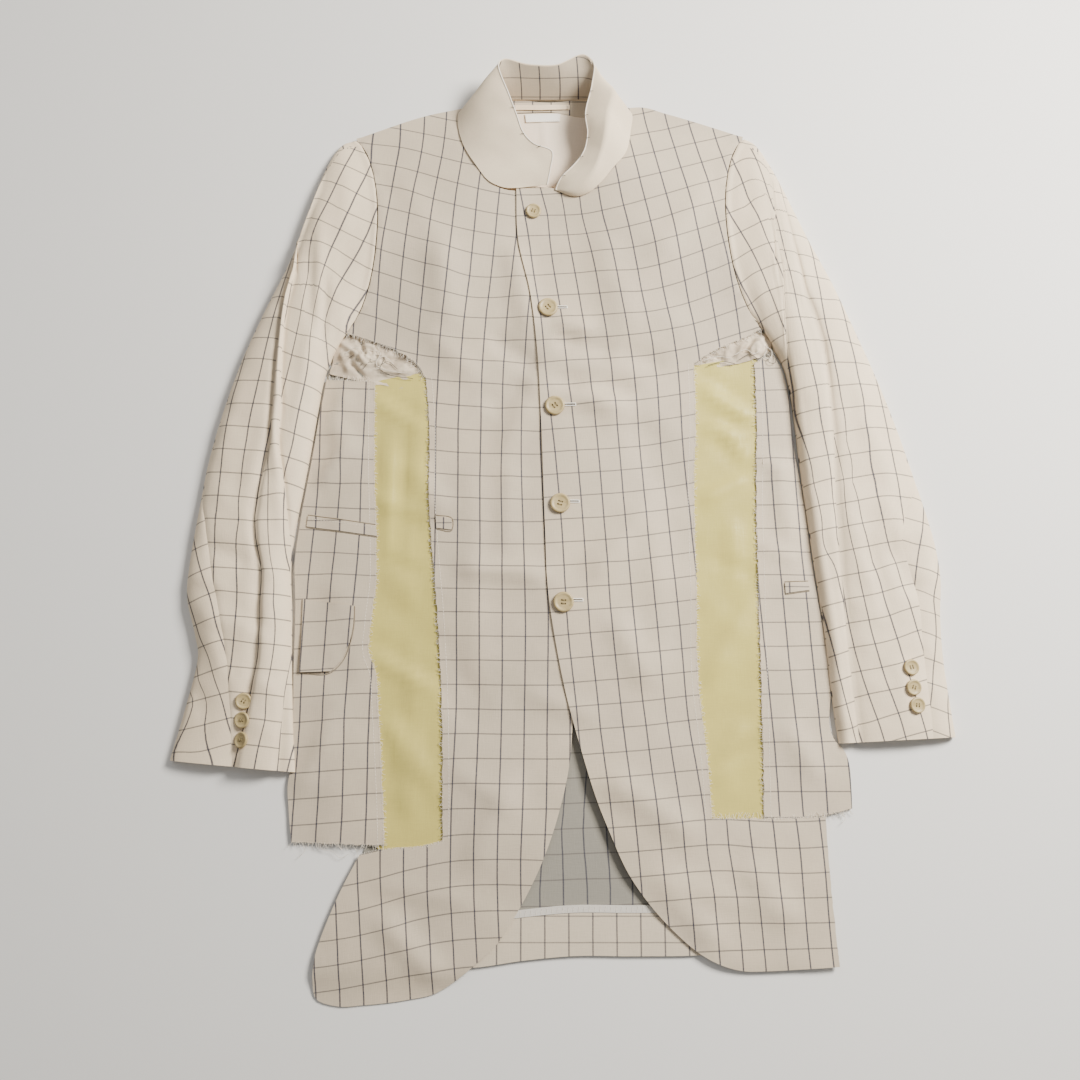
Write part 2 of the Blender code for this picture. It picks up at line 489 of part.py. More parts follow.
def resample(path, count):
    """The same path in equal steps."""
    lengths = [0.0]
    for before, after in zip(path, path[1:]):
        lengths.append(lengths[-1] + (after - before).length)
    result = []
    for step in range(count):
        goal = lengths[-1] * step / (count - 1)
        piece = max(0, min(len(path) - 2, sum(1 for value in lengths if value <= goal) - 1))
        span = lengths[piece + 1] - lengths[piece]
        result.append(path[piece].lerp(path[piece + 1], (goal - lengths[piece]) / span))
    return result


def strip_wall(path, count, axis, start_normal, end_normal, wall):
    """Outer points of one strip of a section, and the points one wall further in."""
    outer = [Vector((point.x, point.y, max(0.0, point.z))) for point in resample(path, count)]
    inner = []
    for step, point in enumerate(outer):
        if step == 0:
            normal = start_normal
        elif step == count - 1:
            normal = end_normal
        else:
            normal = axis.cross(outer[step + 1] - outer[step - 1]).normalized()
        inner.append(point - normal * wall)
    return outer, inner


def wall_between(name, outer_rows, inner_rows, colour):
    """A closed cloth wall between outer and inner rows of points."""
    skin = bmesh.new()
    outer = [[skin.verts.new(place(*point)) for point in row] for row in outer_rows]
    inner = [[skin.verts.new(place(*point)) for point in row] for row in inner_rows]
    profiles = [out_row + in_row[::-1] for out_row, in_row in zip(outer, inner)]
    size = len(profiles[0])
    for before, after in zip(profiles, profiles[1:]):
        for step in range(size):
            following = (step + 1) % size
            skin.faces.new((before[step], before[following], after[following], after[step]))
    for out_row, in_row in ((outer[0], inner[0]), (outer[-1], inner[-1])):
        for step in range(len(out_row) - 1):
            skin.faces.new((out_row[step], out_row[step + 1], in_row[step + 1], in_row[step]))
    bmesh.ops.triangulate(skin, faces=skin.faces[:])
    bmesh.ops.recalc_face_normals(skin, faces=skin.faces[:])
    return finish(name, skin, colour)


def make_sleeve(side, table, seam_at_cuff, bow):
    """One sleeve, split into top and under sleeve along its hind and fore seams."""
    strips = {"top": ([], []), "under": ([], [])}
    last = len(table) - 1
    fore_step = SLEEVE_TOP_POINTS - 1 + round((1.0 - FORE_SEAM) * (SLEEVE_UNDER_POINTS + 1))
    for part, row in enumerate(table):
        ring = sleeve_section(row, part, bow * smoothstep(1.0 - part / ARMHOLE_ROWS))
        chord = Vector((row[2] - row[0], row[3] - row[1], 0.0)).normalized()
        axis = chord.cross(Vector((0.0, 0.0, 1.0)))
        leave = max(0.0, part - HIND_SEAM_TURN) / (last - HIND_SEAM_TURN)
        moved = smoothstep(leave * HIND_SEAM_SPEED)
        seam = HIND_SEAM_AT_SHOULDER + (seam_at_cuff - HIND_SEAM_AT_SHOULDER) * moved
        turn = math.acos(1.0 - 2.0 * seam) / math.pi * (SLEEVE_TOP_POINTS - 1)
        whole = int(turn)
        hind = ring[whole].lerp(ring[whole + 1], turn - whole)
        hind_along = (ring[whole + 1] - ring[whole]).normalized()
        fore = ring[fore_step]
        fore_along = (ring[fore_step + 1] - ring[fore_step - 1]).normalized()
        hind_normal = axis.cross(hind_along).normalized()
        fore_normal = axis.cross(fore_along).normalized()
        half = SEAM_GAP / 2.0
        top = [hind + hind_along * half] + ring[whole + 1:fore_step] + [fore - fore_along * half]
        under = [fore + fore_along * half] + ring[fore_step + 1:] + ring[:whole + 1]
        under.append(hind - hind_along * half)
        for key, path, count, start, end in (
                ("top", top, TOP_SLEEVE_POINTS, hind_normal, fore_normal),
                ("under", under, UNDER_SLEEVE_POINTS, fore_normal, hind_normal)):
            outer, inner = strip_wall(path, count, axis, start, end, CLOTH)
            strips[key][0].append(outer)
            strips[key][1].append(inner)
    for key, (outer_rows, inner_rows) in strips.items():
        wall_between(f"{side}_{key}_sleeve", outer_rows, inner_rows, CHECK_CLOTH)


def loft(name, rows, wall, colour):
    """A cloth wall through rows of points, thickened towards their middle."""
    skin = bmesh.new()
    rings = [[skin.verts.new(place(*point)) for point in row] for row in rows]
    for before, after in zip(rings, rings[1:]):
        for step in range(len(before) - 1):
            skin.faces.new((before[step], before[step + 1], after[step + 1], after[step]))
    skin.normal_update()
    middle = sum((vertex.co for vertex in skin.verts), Vector()) / len(skin.verts)
    if sum(face.normal.dot(face.calc_center_median() - middle) for face in skin.faces) < 0.0:
        bmesh.ops.reverse_faces(skin, faces=skin.faces[:])
    made = finish(name, skin, colour)
    solidify = made.modifiers.new("Cloth wall", 'SOLIDIFY')
    solidify.thickness = wall * MM
    solidify.offset = -1.0


def collar_foot(x, y):
    """Height of the collar's seam: on the back behind the neck, on the fronts round the sides."""
    if y > BACK_NECK_Y:
        return CLOTH + GAP
    height = on_grid(left_front_height if x > FRONT_LEFT_FROM_X else front_height)
    return height(x, y) + 2.0 * CLOTH + 2.0 * GAP


def make_collar():
    rows = []
    for row in COLLAR:
        seam_x, seam_y = row[0:2]
        seam = Vector((seam_x, seam_y, collar_foot(seam_x, seam_y)))
        crest, edge = Vector(row[2:5]), Vector(row[5:8])
        points = []
        for step in range(COLLAR_ROWS):
            part = step / (COLLAR_ROWS - 1)
            bend = crest * 2.0 - (seam + edge) * 0.5
            low, high = seam.lerp(bend, part), bend.lerp(edge, part)
            points.append(tuple(low.lerp(high, part)))
        rows.append(points)
    loft("collar", rows, CLOTH, UNDERCOLLAR)


def make_button(name, x, y, z, diameter):
    """A turned button: rounded rim round a shallow dish."""
    button = bmesh.new()
    radius = diameter / 2.0 * MM
    bmesh.ops.create_cone(button, cap_ends=True, segments=BUTTON_SIDES, radius1=radius * BUTTON_FOOT,
                          radius2=radius, depth=BUTTON_HEIGHT * MM)
    top = max(button.faces, key=lambda face: face.calc_center_median().z)
    bmesh.ops.inset_individual(button, faces=[top], thickness=radius * BUTTON_RIM)
    bmesh.ops.translate(button, verts=top.verts[:], vec=(0.0, 0.0, -BUTTON_DISH * MM))
    middle = place(x, y, z + BUTTON_HEIGHT / 2.0)
    bmesh.ops.translate(button, verts=button.verts[:], vec=middle)
    finish(name, button, HORN_BUTTON)


def sleeve_top(table, x, y, radius):
    """Highest point of a sleeve's upper side within a radius of x, y."""
    tops = [sleeve_section(row, part or 1, 0.0)[:SLEEVE_TOP_POINTS] for part, row in enumerate(table)]
    highest = 0.0
    for before, after in zip(tops, tops[1:]):
        for step in range(SEARCH_STEPS + 1):
            strip = [a.lerp(b, step / SEARCH_STEPS) for a, b in zip(before, after)]
            for start, end in zip(strip, strip[1:]):
                for point in (start, start.lerp(end, 0.5), end):
                    if math.hypot(point.x - x, point.y - y) < radius:
                        highest = max(highest, point.z)
    return highest


def make_buttons():
    creased = on_grid(left_front_height)
    for number, (x, y) in enumerate(FRONT_BUTTONS, 1):
        diameter = SMALL_BUTTON if number == 1 else FRONT_BUTTON
        turns = [math.tau * step / BUTTON_SIDES for step in range(BUTTON_SIDES)]
        under = max(creased(x + reach * math.cos(turn), y + reach * math.sin(turn))
                    for turn in turns for reach in (0.0, diameter / 4.0, diameter / 2.0))
        make_button(f"front_button_{number}", x, y, under + CLOTH + GAP, diameter)
    for side, table, spots in (("right", RIGHT_SLEEVE, CUFF_BUTTONS_RIGHT),
                               ("left", LEFT_SLEEVE, CUFF_BUTTONS_LEFT)):
        for number, (x, y) in enumerate(spots, 1):
            under = sleeve_top(table, x, y, SMALL_BUTTON / 2.0 + BUTTON_MARGIN)
            make_button(f"{side}_cuff_button_{number}", x, y, under + GAP, SMALL_BUTTON)


for old in list(bpy.data.objects):
    bpy.data.objects.remove(old, do_unlink=True)
jacket = bpy.data.collections.new("cut_open_jacket")
bpy.context.scene.collection.children.link(jacket)

make_back()
make_neck_inside()
make_fronts()
make_sides()
make_armhole_lining("armhole_lining_right", ARMHOLE_LINING_RIGHT, SWIRLS_RIGHT)
make_armhole_lining("armhole_lining_left", ARMHOLE_LINING_LEFT, SWIRLS_LEFT)
make_sleeve("right", RIGHT_SLEEVE, HIND_SEAM_AT_CUFF_RIGHT, ARMHOLE_BOW)
make_sleeve("left", LEFT_SLEEVE, HIND_SEAM_AT_CUFF_LEFT, -ARMHOLE_BOW)
make_collar()
make_buttons()
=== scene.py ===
# Dressed model of the cut-open windowpane jacket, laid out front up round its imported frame.
# Tables are in millimetres on the table that the jacket lies on; toMetres() takes them to the frame.
import math
import random

import bmesh
import bpy
import numpy as np
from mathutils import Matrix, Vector
from mathutils.bvhtree import BVHTree


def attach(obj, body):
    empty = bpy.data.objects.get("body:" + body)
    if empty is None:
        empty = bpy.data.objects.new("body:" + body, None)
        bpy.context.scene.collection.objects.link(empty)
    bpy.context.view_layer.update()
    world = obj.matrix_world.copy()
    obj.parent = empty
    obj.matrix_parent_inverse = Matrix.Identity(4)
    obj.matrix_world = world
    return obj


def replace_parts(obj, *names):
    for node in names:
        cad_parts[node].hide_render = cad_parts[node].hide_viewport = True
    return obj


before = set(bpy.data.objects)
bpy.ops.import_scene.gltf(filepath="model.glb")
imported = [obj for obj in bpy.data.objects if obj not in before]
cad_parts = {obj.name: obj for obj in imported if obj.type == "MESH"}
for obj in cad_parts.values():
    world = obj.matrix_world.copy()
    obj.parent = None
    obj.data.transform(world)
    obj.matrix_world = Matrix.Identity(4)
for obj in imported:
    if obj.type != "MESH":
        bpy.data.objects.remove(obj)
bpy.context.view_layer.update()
chance = random.Random(11)
print("frame loaded")

layout = {"middleX": 21.9, "middleY": 517.5, "millimetre": 0.001}
cloth = {"wall": 1.4, "lining": 1.0, "gap": 0.4, "backTop": 1.5, "panelTop": 1.5, "frontLevel": 3.5,
         "overlapLift": 1.9, "stripDrop": 0.35}


def toMetres(points):
    spots = np.asarray(points, dtype=float)
    middle = np.array([layout["middleX"], layout["middleY"], 0.0])
    return (spots - middle) * layout["millimetre"]


def easeIn(value):
    value = np.clip(value, 0.0, 1.0)
    return value * value * (3.0 - 2.0 * value)


def smoothPath(points, step=5.0):  # a smooth curve through a few given points
    knots = np.array(points, dtype=float)
    gaps = np.linalg.norm(np.diff(knots, axis=0), axis=1)
    slopes = np.diff(knots, axis=0) / gaps[:, None]
    inner = slopes[:-1] * gaps[1:, None] + slopes[1:] * gaps[:-1, None]
    tangents = np.vstack([slopes[:1], inner / (gaps[:-1] + gaps[1:])[:, None], slopes[-1:]])
    path = []
    for number, gap in enumerate(gaps):
        steps = max(1, round(gap / step))
        for part in np.arange(steps) / steps:
            square, cube = part * part, part ** 3
            path.append(knots[number] * (2 * cube - 3 * square + 1)
                        + knots[number + 1] * (3 * square - 2 * cube)
                        + tangents[number] * gap * (cube - 2 * square + part)
                        + tangents[number + 1] * gap * (cube - square))
    path.append(knots[-1])
    return np.array(path)


def putIn(name, data):  # a new object in the scene
    item = bpy.data.objects.new(name, data)
    bpy.context.scene.collection.objects.link(item)
    return item


def meshFrom(name, shape):
    mesh = bpy.data.meshes.new(name)
    shape.to_mesh(mesh)
    shape.free()
    return mesh


# Sockets that add, subtract and multiply as numbers do
class Flow:
    def __init__(self, paint, socket):
        self.paint = paint
        self.socket = socket

    def join(self, operation, first, second):
        return self.paint.node("ShaderNodeMath", {"operation": operation}, {0: first, 1: second})

    def __add__(self, other):
        return self.join("ADD", self, other)

    __radd__ = __add__

    def __sub__(self, other):
        return self.join("SUBTRACT", self, other)

    def __rsub__(self, other):
        return self.join("SUBTRACT", other, self)

    def __mul__(self, other):
        return self.join("MULTIPLY", self, other)

    __rmul__ = __mul__

    def toWhole(self):  # distance to the nearest whole number
        return self.join("PINGPONG", self, 0.5)

    def fade(self, start, end):  # 1 up to start, 0 from end on
        return self.paint.node("ShaderNodeMapRange", {"interpolation_type": "SMOOTHSTEP"},
                               {0: self, 1: start, 2: end, 3: 1.0, 4: 0.0})


class Paint:
    def __init__(self, name, roughness, sheen=0.0, specular=0.35):
        self.material = bpy.data.materials.new(name)
        self.material.use_nodes = True
        self.tree = self.material.node_tree
        self.shader = self.tree.nodes["Principled BSDF"]
        self.shader.inputs["Roughness"].default_value = roughness
        self.shader.inputs["Sheen Weight"].default_value = sheen
        self.shader.inputs["Specular IOR Level"].default_value = specular

    def node(self, kind, settings=None, values=None, output=0):
        made = self.tree.nodes.new(kind)
        for key, value in (settings or {}).items():
            setattr(made, key, value)
        for key, value in (values or {}).items():
            self.feed(made.inputs[key], value)
        return Flow(self, made.outputs[output])

    def feed(self, socket, value):
        if isinstance(value, Flow):
            self.tree.links.new(value.socket, socket)
        elif isinstance(value, tuple) and socket.type == "RGBA":
            socket.default_value = (*value, 1.0)
        else:
            socket.default_value = value

    def mix(self, amount, first, second, how="MIX"):
        return self.node("ShaderNodeMix", {"data_type": "RGBA", "blend_type": how},
                         {0: amount, 6: first, 7: second}, 2)

    def noise(self, vector, scale, detail=2.0, rough=0.5):
        return self.node("ShaderNodeTexNoise", {},
                         {"Vector": vector, "Scale": scale, "Detail": detail, "Roughness": rough})

    def stretch(self, vector, x, y):
        return self.node("ShaderNodeMapping", {}, {"Vector": vector, "Scale": (x, y, 1.0)})

    def here(self):
        return self.node("ShaderNodeTexCoord", {}, {}, "Object")

    def weave(self, vector, thinness, scale):  # uneven threads that cross
        across = self.noise(self.stretch(vector, 1.0, thinness), scale)
        along = self.noise(self.stretch(vector, thinness, 1.0), scale)
        return across * 0.5 + along * 0.5

    def grained(self, colour, amount, grain, darkest):
        return self.mix(amount, colour, self.mix(grain, darkest, (1.0, 1.0, 1.0)), "MULTIPLY")

    def finish(self, colour, height, depth=0.0002, roughness=None):
        self.feed(self.shader.inputs["Base Color"], colour)
        if roughness is not None:
            self.feed(self.shader.inputs["Roughness"], roughness)
        bump = self.node("ShaderNodeBump", {}, {"Strength": 0.7, "Distance": depth, "Height": height})
        self.feed(self.shader.inputs["Normal"], bump)
        return self.material


checkLook = {
    "columnMm": 22.6, "rowMm": 23.5, "columnHalf": 0.74, "rowHalf": 0.58, "softness": 0.4,
    "column": (0.04, 0.04, 0.06), "row": (0.13, 0.115, 0.105), "columnShare": 0.95, "rowShare": 0.86,
}


def checkCloth(name, ground, shade, lineShare=1.0):
    paint = Paint(name, roughness=0.66, sheen=0.08, specular=0.3)
    place = paint.here()
    chart = paint.node("ShaderNodeUVMap", {"uv_map": "check"})
    column = paint.node("ShaderNodeSeparateXYZ", {}, {0: chart})
    row = Flow(paint, column.socket.node.outputs[1])
    wobble = paint.noise(place, 60.0) * 0.02 - 0.01
    broken = paint.noise(place, 900.0, 1.0) * 0.5 + 0.72       # the lines are single uneven yarns
    slub = paint.weave(paint.stretch(chart, checkLook["columnMm"], checkLook["rowMm"]), 0.09, 1.0)
    # Broad random patches draw the ground towards the darker colour
    irregular = paint.noise(place, 7.0, 4.0, 0.6).fade(0.35, 0.75)
    colour = paint.grained(paint.mix(irregular * 0.55, ground, shade), 0.55, slub, (0.55, 0.55, 0.56))
    for kind, reading in (("row", row), ("column", column)):
        half, softness = checkLook[kind + "Half"], checkLook["softness"]
        line = ((reading + wobble).toWhole() * checkLook[kind + "Mm"]).fade(half - softness, half + softness)
        colour = paint.mix(line * broken * (checkLook[kind + "Share"] * lineShare), colour, checkLook[kind])
    return paint.finish(colour, slub + line * 0.1, 0.00035)


def plainCloth(name, ground, shade, roughness, depth=0.00025, mottle=9.0):
    paint = Paint(name, roughness=roughness, sheen=0.1, specular=0.3)
    place = paint.here()
    weave = paint.weave(place, 0.12, 700.0)
    patches = paint.noise(place, mottle, 4.0, 0.6).fade(0.3, 0.75)
    return paint.finish(paint.grained(paint.mix(patches * 0.7, ground, shade), 0.4, weave, (0.6, 0.6, 0.6)),
                        weave, depth)


def feltCloth(name, ground, shade):
    paint = Paint(name, roughness=0.93, sheen=0.25, specular=0.15)
    place = paint.here()
    fuzz = paint.noise(place, 1400.0, 3.0, 0.7)
    patches = paint.noise(place, 18.0, 4.0, 0.6).fade(0.35, 0.7)
    return paint.finish(paint.grained(paint.mix(patches * 0.8, ground, shade), 0.5, fuzz, (0.6, 0.58, 0.55)),
                        fuzz, 0.0004)


def hornFinish(name):
    paint = Paint(name, roughness=0.42, specular=0.4)
    place = paint.here()
    cloud = paint.noise(paint.stretch(place, 1.0, 2.2), 120.0, 4.0, 0.6)
    colour = paint.mix(cloud.fade(0.35, 0.65), (0.47, 0.37, 0.19), (0.39, 0.30, 0.14))
    scuffs = paint.noise(place, 600.0, 2.0)
    return paint.finish(colour, scuffs, 0.00006, scuffs * 0.25 + 0.3)


def threadFinish(name, colour):
    paint = Paint(name, roughness=0.8, sheen=0.2, specular=0.25)
    fuzz = paint.noise(paint.here(), 2500.0, 1.0)
    return paint.finish(paint.mix(fuzz, tuple(0.72 * part for part in colour), colour), fuzz, 0.0001)


bodyCloth = checkCloth("bodyCheck", (0.71, 0.59, 0.435), (0.54, 0.46, 0.36))
# The sleeves' check is the body's check painted lighter and warmer: painted light on the raised sleeves
sleeveClothPaintedLight = checkCloth("sleeveCheckPaintedLight", (0.94, 0.78, 0.57), (0.82, 0.67, 0.48))
wrongSideCloth = checkCloth("wrongSideCheck", (0.34, 0.315, 0.26), (0.28, 0.265, 0.23), 0.9)
hemCloth = checkCloth("turnedHemCheck", (0.76, 0.64, 0.48), (0.64, 0.55, 0.43), 0.85)
yellowCloth = plainCloth("yellowStrip", (0.64, 0.55, 0.15), (0.56, 0.48, 0.14), 0.36, mottle=14.0)
creamLining = plainCloth("creamLining", (0.90, 0.77, 0.62), (0.82, 0.69, 0.55), 0.5, depth=0.00012)
loopCloth = plainCloth("loopTape", (0.90, 0.74, 0.54), (0.82, 0.66, 0.47), 0.5, depth=0.00012)
# The crumpled lining's dark noise patches are painted shade of its deep creases
liningWithPaintedShade = plainCloth("crumpledLiningPaintedShade", (0.80, 0.68, 0.52), (0.36, 0.28, 0.20), 0.7, mottle=45.0)
labelTape = plainCloth("bareLabel", (0.98, 0.94, 0.86), (0.94, 0.89, 0.81), 0.55, depth=0.00015)
tapeCloth = plainCloth("hemTape", (0.70, 0.66, 0.60), (0.62, 0.58, 0.52), 0.6)
underCollar = feltCloth("underCollarFelt", (0.92, 0.78, 0.58), (0.80, 0.67, 0.50))
hornButton = hornFinish("hornButton")
creamThread = threadFinish("creamThread", (0.90, 0.82, 0.70))
loopThread = threadFinish("rolledRim", (0.96, 0.88, 0.76))
# This dark thread draws painted shadow lines round the pocket welts and flap
pocketShadowThread = threadFinish("pocketShadowThread", (0.34, 0.28, 0.20))
# Dark thread: real basting ends at the collar, and painted shade in the buttonhole slits and underarm
# crumples
darkThreadAndShade = threadFinish("darkThreadAndShade", (0.05, 0.045, 0.04))
buttonThread = threadFinish("buttonThread", (0.36, 0.28, 0.14))
buttonholeThread = threadFinish("buttonholeThread", (1.0, 0.96, 0.89))
print("materials made")



# Charts of the check: where its lines run. They are thin-plate splines through places read one by one
def spline(marks):  # marks are the number of a line and a place on it
    scale, looseness = 100.0, 0.0005
    values = np.array([number for number, spot in marks], dtype=float)
    spots = np.array([spot for number, spot in marks], dtype=float) / scale

    def bend(x, y):
        reach = np.hypot(x[:, None] - spots[None, :, 0], y[:, None] - spots[None, :, 1])
        return reach ** 2 * np.log(np.maximum(reach, 1e-9))

    size = len(spots)
    plane = np.column_stack([np.ones(size), spots])
    system = np.zeros((size + 3, size + 3))
    system[:size, :size] = bend(spots[:, 0], spots[:, 1]) + looseness * np.eye(size)
    system[:size, size:] = plane
    system[size:, :size] = plane.T
    weights = np.linalg.solve(system, np.concatenate([values, np.zeros(3)]))

    def read(x, y):
        x, y = np.asarray(x) / scale, np.asarray(y) / scale
        return bend(x, y) @ weights[:size] + weights[size] + x * weights[size + 1] + y * weights[size + 2]

    return read


def crossingChart(crossings):  # column, row, x, y of places where two lines cross
    columns = spline([(column, (x, y)) for column, row, x, y in crossings])
    rows = spline([(row, (x, y)) for column, row, x, y in crossings])
    return lambda x, y: (columns(x, y), rows(x, y))


def lineChart(down, across):  # each line of the check with a few places on it
    columns, rows = [spline([(number, spot) for number, line in lines.items() for spot in line])
                     for lines in (down, across)]
    return lambda x, y: (columns(x, y), rows(x, y))


def evenChart(x0, y0, columnMm=checkLook["columnMm"]):
    return lambda x, y: ((x - x0) / columnMm, (y0 - y) / checkLook["rowMm"])


rightFrontCheck = crossingChart([
    (-7, -7, -180, 909), (-7, -4, -182, 835), (-6, -7, -150, 904), (-6, -5, -156, 856), (-6, -2, -165, 782),
    (-6, 1, -169, 710), (-4, -8, -102, 914), (-4, -5, -112, 840), (-4, -2, -119, 767), (-4, 1, -125, 694),
    (-4, 3, -127, 647), (-2, -6, -65, 852), (-2, -4, -69, 805), (-2, -2, -73, 755), (-2, 0, -78, 710),
    (-2, 2, -81, 665), (-2, 5, -83, 591), (-2, 9, -82, 497), (-2, 13, -82, 405), (-2, 17, -81, 311),
    (-2, 21, -84, 217), (-2, 24, -84, 146), (0, -1, -32, 733), (0, 2, -37, 663), (0, 5, -38, 589),
    (0, 9, -38, 495), (0, 13, -37, 404), (0, 17, -37, 310), (0, 21, -39, 217), (0, 24, -40, 148),
    (2, 5, 0, 588), (2, 9, 4, 495), (2, 13, 8, 404), (2, 17, 7, 310), (2, 21, 6, 217), (2, 23, 4, 170),
    (-4, 24, -127, 137), (-4, 27, -121, 67), (-5, 23, -150, 154), (-5, 27, -142, 63), (-3, 23, -106, 165),
    (-3, 26, -102, 95), (-6, 24, -169, 125)])
leftFrontCheck = crossingChart([
    (-1, -5, -16, 824), (-1, 0, 1, 709), (-1, 4, 10, 613), (-1, 9, 21, 497), (-1, 13, 26, 405),
    (-1, 17, 35, 313), (0, -5, 8, 825), (0, -2, 15, 758), (0, 2, 27, 663), (0, 6, 37, 568), (0, 10, 44, 475),
    (0, 14, 49, 384), (0, 18, 58, 292), (0, 22, 69, 200), (2, -5, 44, 825), (2, -2, 58, 760), (2, 2, 72, 666),
    (2, 6, 80, 571), (2, 10, 86, 478), (2, 14, 93, 387), (2, 18, 102, 295), (2, 22, 112, 203),
    (2, 25, 118, 134), (4, -6, 83, 858), (4, -4, 93, 809), (4, -1, 105, 737), (4, 2, 117, 671),
    (4, 6, 122, 577), (4, 10, 129, 485), (4, 14, 137, 392), (4, 18, 143, 300), (4, 22, 156, 207),
    (4, 25, 163, 137), (4, 27, 166, 89), (6, -8, 116, 921), (6, -6, 127, 871), (6, -4, 138, 822),
    (6, -2, 146, 773), (6, 0, 154, 726), (6, 2, 162, 680), (6, 23, 200, 182), (6, 25, 204, 137),
    (6, 27, 208, 90), (8, -7, 166, 910), (8, -5, 178, 862), (8, -3, 187, 814), (8, -1, 196, 768),
    (8, 1, 203, 719), (8, 23, 245, 181), (8, 25, 247, 136), (8, 27, 249, 91), (9, 24, 268, 159),
    (5, 23, 178, 184), (5, 25, 184, 137)])
backCheck = crossingChart([
    (0, 0, 5, 198), (0, 2, 0, 151), (0, 3, 0, 128), (1, 0, 20, 198), (1, 2, 22, 152), (1, 3, 22, 128),
    (2, 0, 41, 199), (2, 2, 44, 153), (2, 3, 45, 129), (3, 0, 63, 200), (3, 2, 66, 153), (3, 3, 66, 129),
    (4, 2, 87, 154), (4, 3, 87, 130)])
rightSideCheck = crossingChart([
    (0, 0, -201, 635), (0, 4, -201, 535), (1, 0, -178, 634), (1, 4, -180, 535), (0, 6, -203, 486),
    (1, 6, -180, 484), (0, 8, -206, 443), (1, 8, -182, 442), (0, 10, -208, 394), (1, 10, -185, 396),
    (0, 14, -210, 300), (1, 14, -189, 302), (2, 14, -165, 302), (0, 18, -212, 203), (1, 18, -188, 205),
    (2, 18, -165, 207)])
leftSideCheck = crossingChart([
    (0, 0, 230, 633), (0, 4, 233, 537), (1, 1, 255, 610), (1, 4, 257, 537), (0, 8, 238, 442),
    (1, 7, 260, 465), (0, 12, 243, 348), (-1, 12, 221, 348), (1, 12, 267, 349), (0, 17, 249, 233),
    (-1, 17, 227, 233), (1, 17, 273, 233), (0, 18, 250, 209)])
turnedHemCheck = evenChart(4.5, 96.0, 22.4)
print("charts of the check made")

# The body's rise from shoulders to hem
bodyForm = {
    "neckX": 6.0, "neckHalf": 90.0, "neckPointY": 954.0, "shoulderSlope": 0.31, "shoulderRoll": 34.0,
    "shoulderTuck": 1.4, "rightHemDrop": (74.0, 48.0), "leftHemDrop": (76.0, 56.0),
    "overlapEnd": (72.0, 140.0), "sidesMiddleX": 24.0, "sideRollFrom": 222.0, "sideRollDrop": 1.5,
    "sideRoll": 22.0, "seamRoll": 1.1, "seamRollAway": 3.0, "seamRollHalf": 2.2,
    "lowest": -0.7, "foldShare": 2.0,
}
# Fullness over the flat back: x, y, half width, half length, height
fullness = [
    (-112, 800, 62, 100, 11.0), (128, 800, 62, 100, 11.0), (-186, 790, 40, 78, 8.0), (212, 790, 40, 78, 8.0),
    (-52, 880, 44, 46, 8.0), (66, 880, 44, 46, 8.0), (8, 640, 105, 130, 5.0), (10, 430, 95, 110, 4.5),
    (-45, 225, 60, 75, 3.5), (105, 225, 60, 75, 3.5),
]
# Folds of the fronts and sides: start x, y, end x, y, half width, height
bodyFolds = [
    (48, 438, 106, 515, 15, 3.0), (-86, 447, 4, 441, 13, 2.5), (40, 640, 84, 600, 14, 2.0),
    (-30, 790, -8, 690, 13, 2.5), (-84, 438, 6, 429, 4, -1.2), (44, 440, 100, 514, 3.5, -1.0),
    (34, 628, 80, 634, 4, -0.9), (-120, 700, -60, 640, 12, 1.2), (150, 715, 80, 660, 12, 1.2),
    (-150, 870, -90, 760, 14, 1.0), (180, 870, 120, 770, 14, 1.0), (-70, 560, -60, 330, 12, 0.9),
    (110, 560, 120, 330, 12, 0.9), (-160, 150, -60, 130, 9, 1.0), (90, 160, 230, 120, 10, 1.0),
    (-20, 330, 60, 300, 10, 1.2), (-90, 260, -20, 210, 9, 1.0), (-52, 690, -4, 656, 10, -2.4),
    (-55, 612, -14, 640, 11, -2.4), (16, 702, 54, 697, 8, 2.4), (14, 686, 80, 673, 10, -2.6),
    (80, 673, 128, 660, 11, -1.8), (12, 642, 98, 634, 9, -2.6), (18, 624, 92, 616, 9, 1.8),
    (-104, 790, -96, 700, 16, 2.0), (60, 800, 96, 690, 18, 1.8), (-128, 560, -96, 500, 14, 1.8),
    (100, 600, 130, 520, 15, -2.0), (70, 400, 110, 330, 14, 2.2), (-110, 380, -60, 300, 16, -2.0),
    (60, 250, 150, 190, 14, 2.4), (-20, 250, -70, 160, 14, 2.2), (-150, 120, -90, 60, 12, 2.0),
    (190, 170, 240, 110, 14, 2.0), (110, 150, 170, 90, 12, 1.8), (-212, 600, -184, 560, 10, 1.6),
    (-222, 420, -190, 330, 10, -1.6), (238, 560, 250, 470, 9, 1.6), (240, 400, 270, 330, 10, -1.8),
    (-200, 300, -230, 230, 9, 1.8), (236, 300, 270, 240, 10, 1.6),
    (-222, 532, -196, 574, 7, 2.4), (-215, 600, -196, 632, 6, 1.6), (222, 560, 250, 545, 7, 1.4),
    (222, 470, 256, 455, 7, 1.4), (-30, 560, -34, 470, 9, 1.2), (-10, 620, -40, 560, 10, 1.4),
]


def ridge(x, y, x0, y0, x1, y1, halfWidth, height):  # a soft fold that fades out at both ends
    length = math.hypot(x1 - x0, y1 - y0)
    part = ((x - x0) * (x1 - x0) + (y - y0) * (y1 - y0)) / length ** 2
    across = ((x - x0) * (y1 - y0) - (y - y0) * (x1 - x0)) / length
    fade = easeIn(np.minimum(part, 1.0 - part) * 3.0 + 0.3)
    return height * fade * np.exp(-((across / halfWidth) ** 2))


def ripple(x, y, size, height, turn=0.0):  # gentle unevenness of cloth that lies by itself
    u, v = x / size, y / size
    waves = np.sin(u * 2.1 + 1.3 * np.sin(v * 1.7 + turn))
    waves = waves + np.sin(v * 2.7 + 1.1 * np.sin(u * 1.9 - turn) + 2.0)
    return waves * 0.5 * height


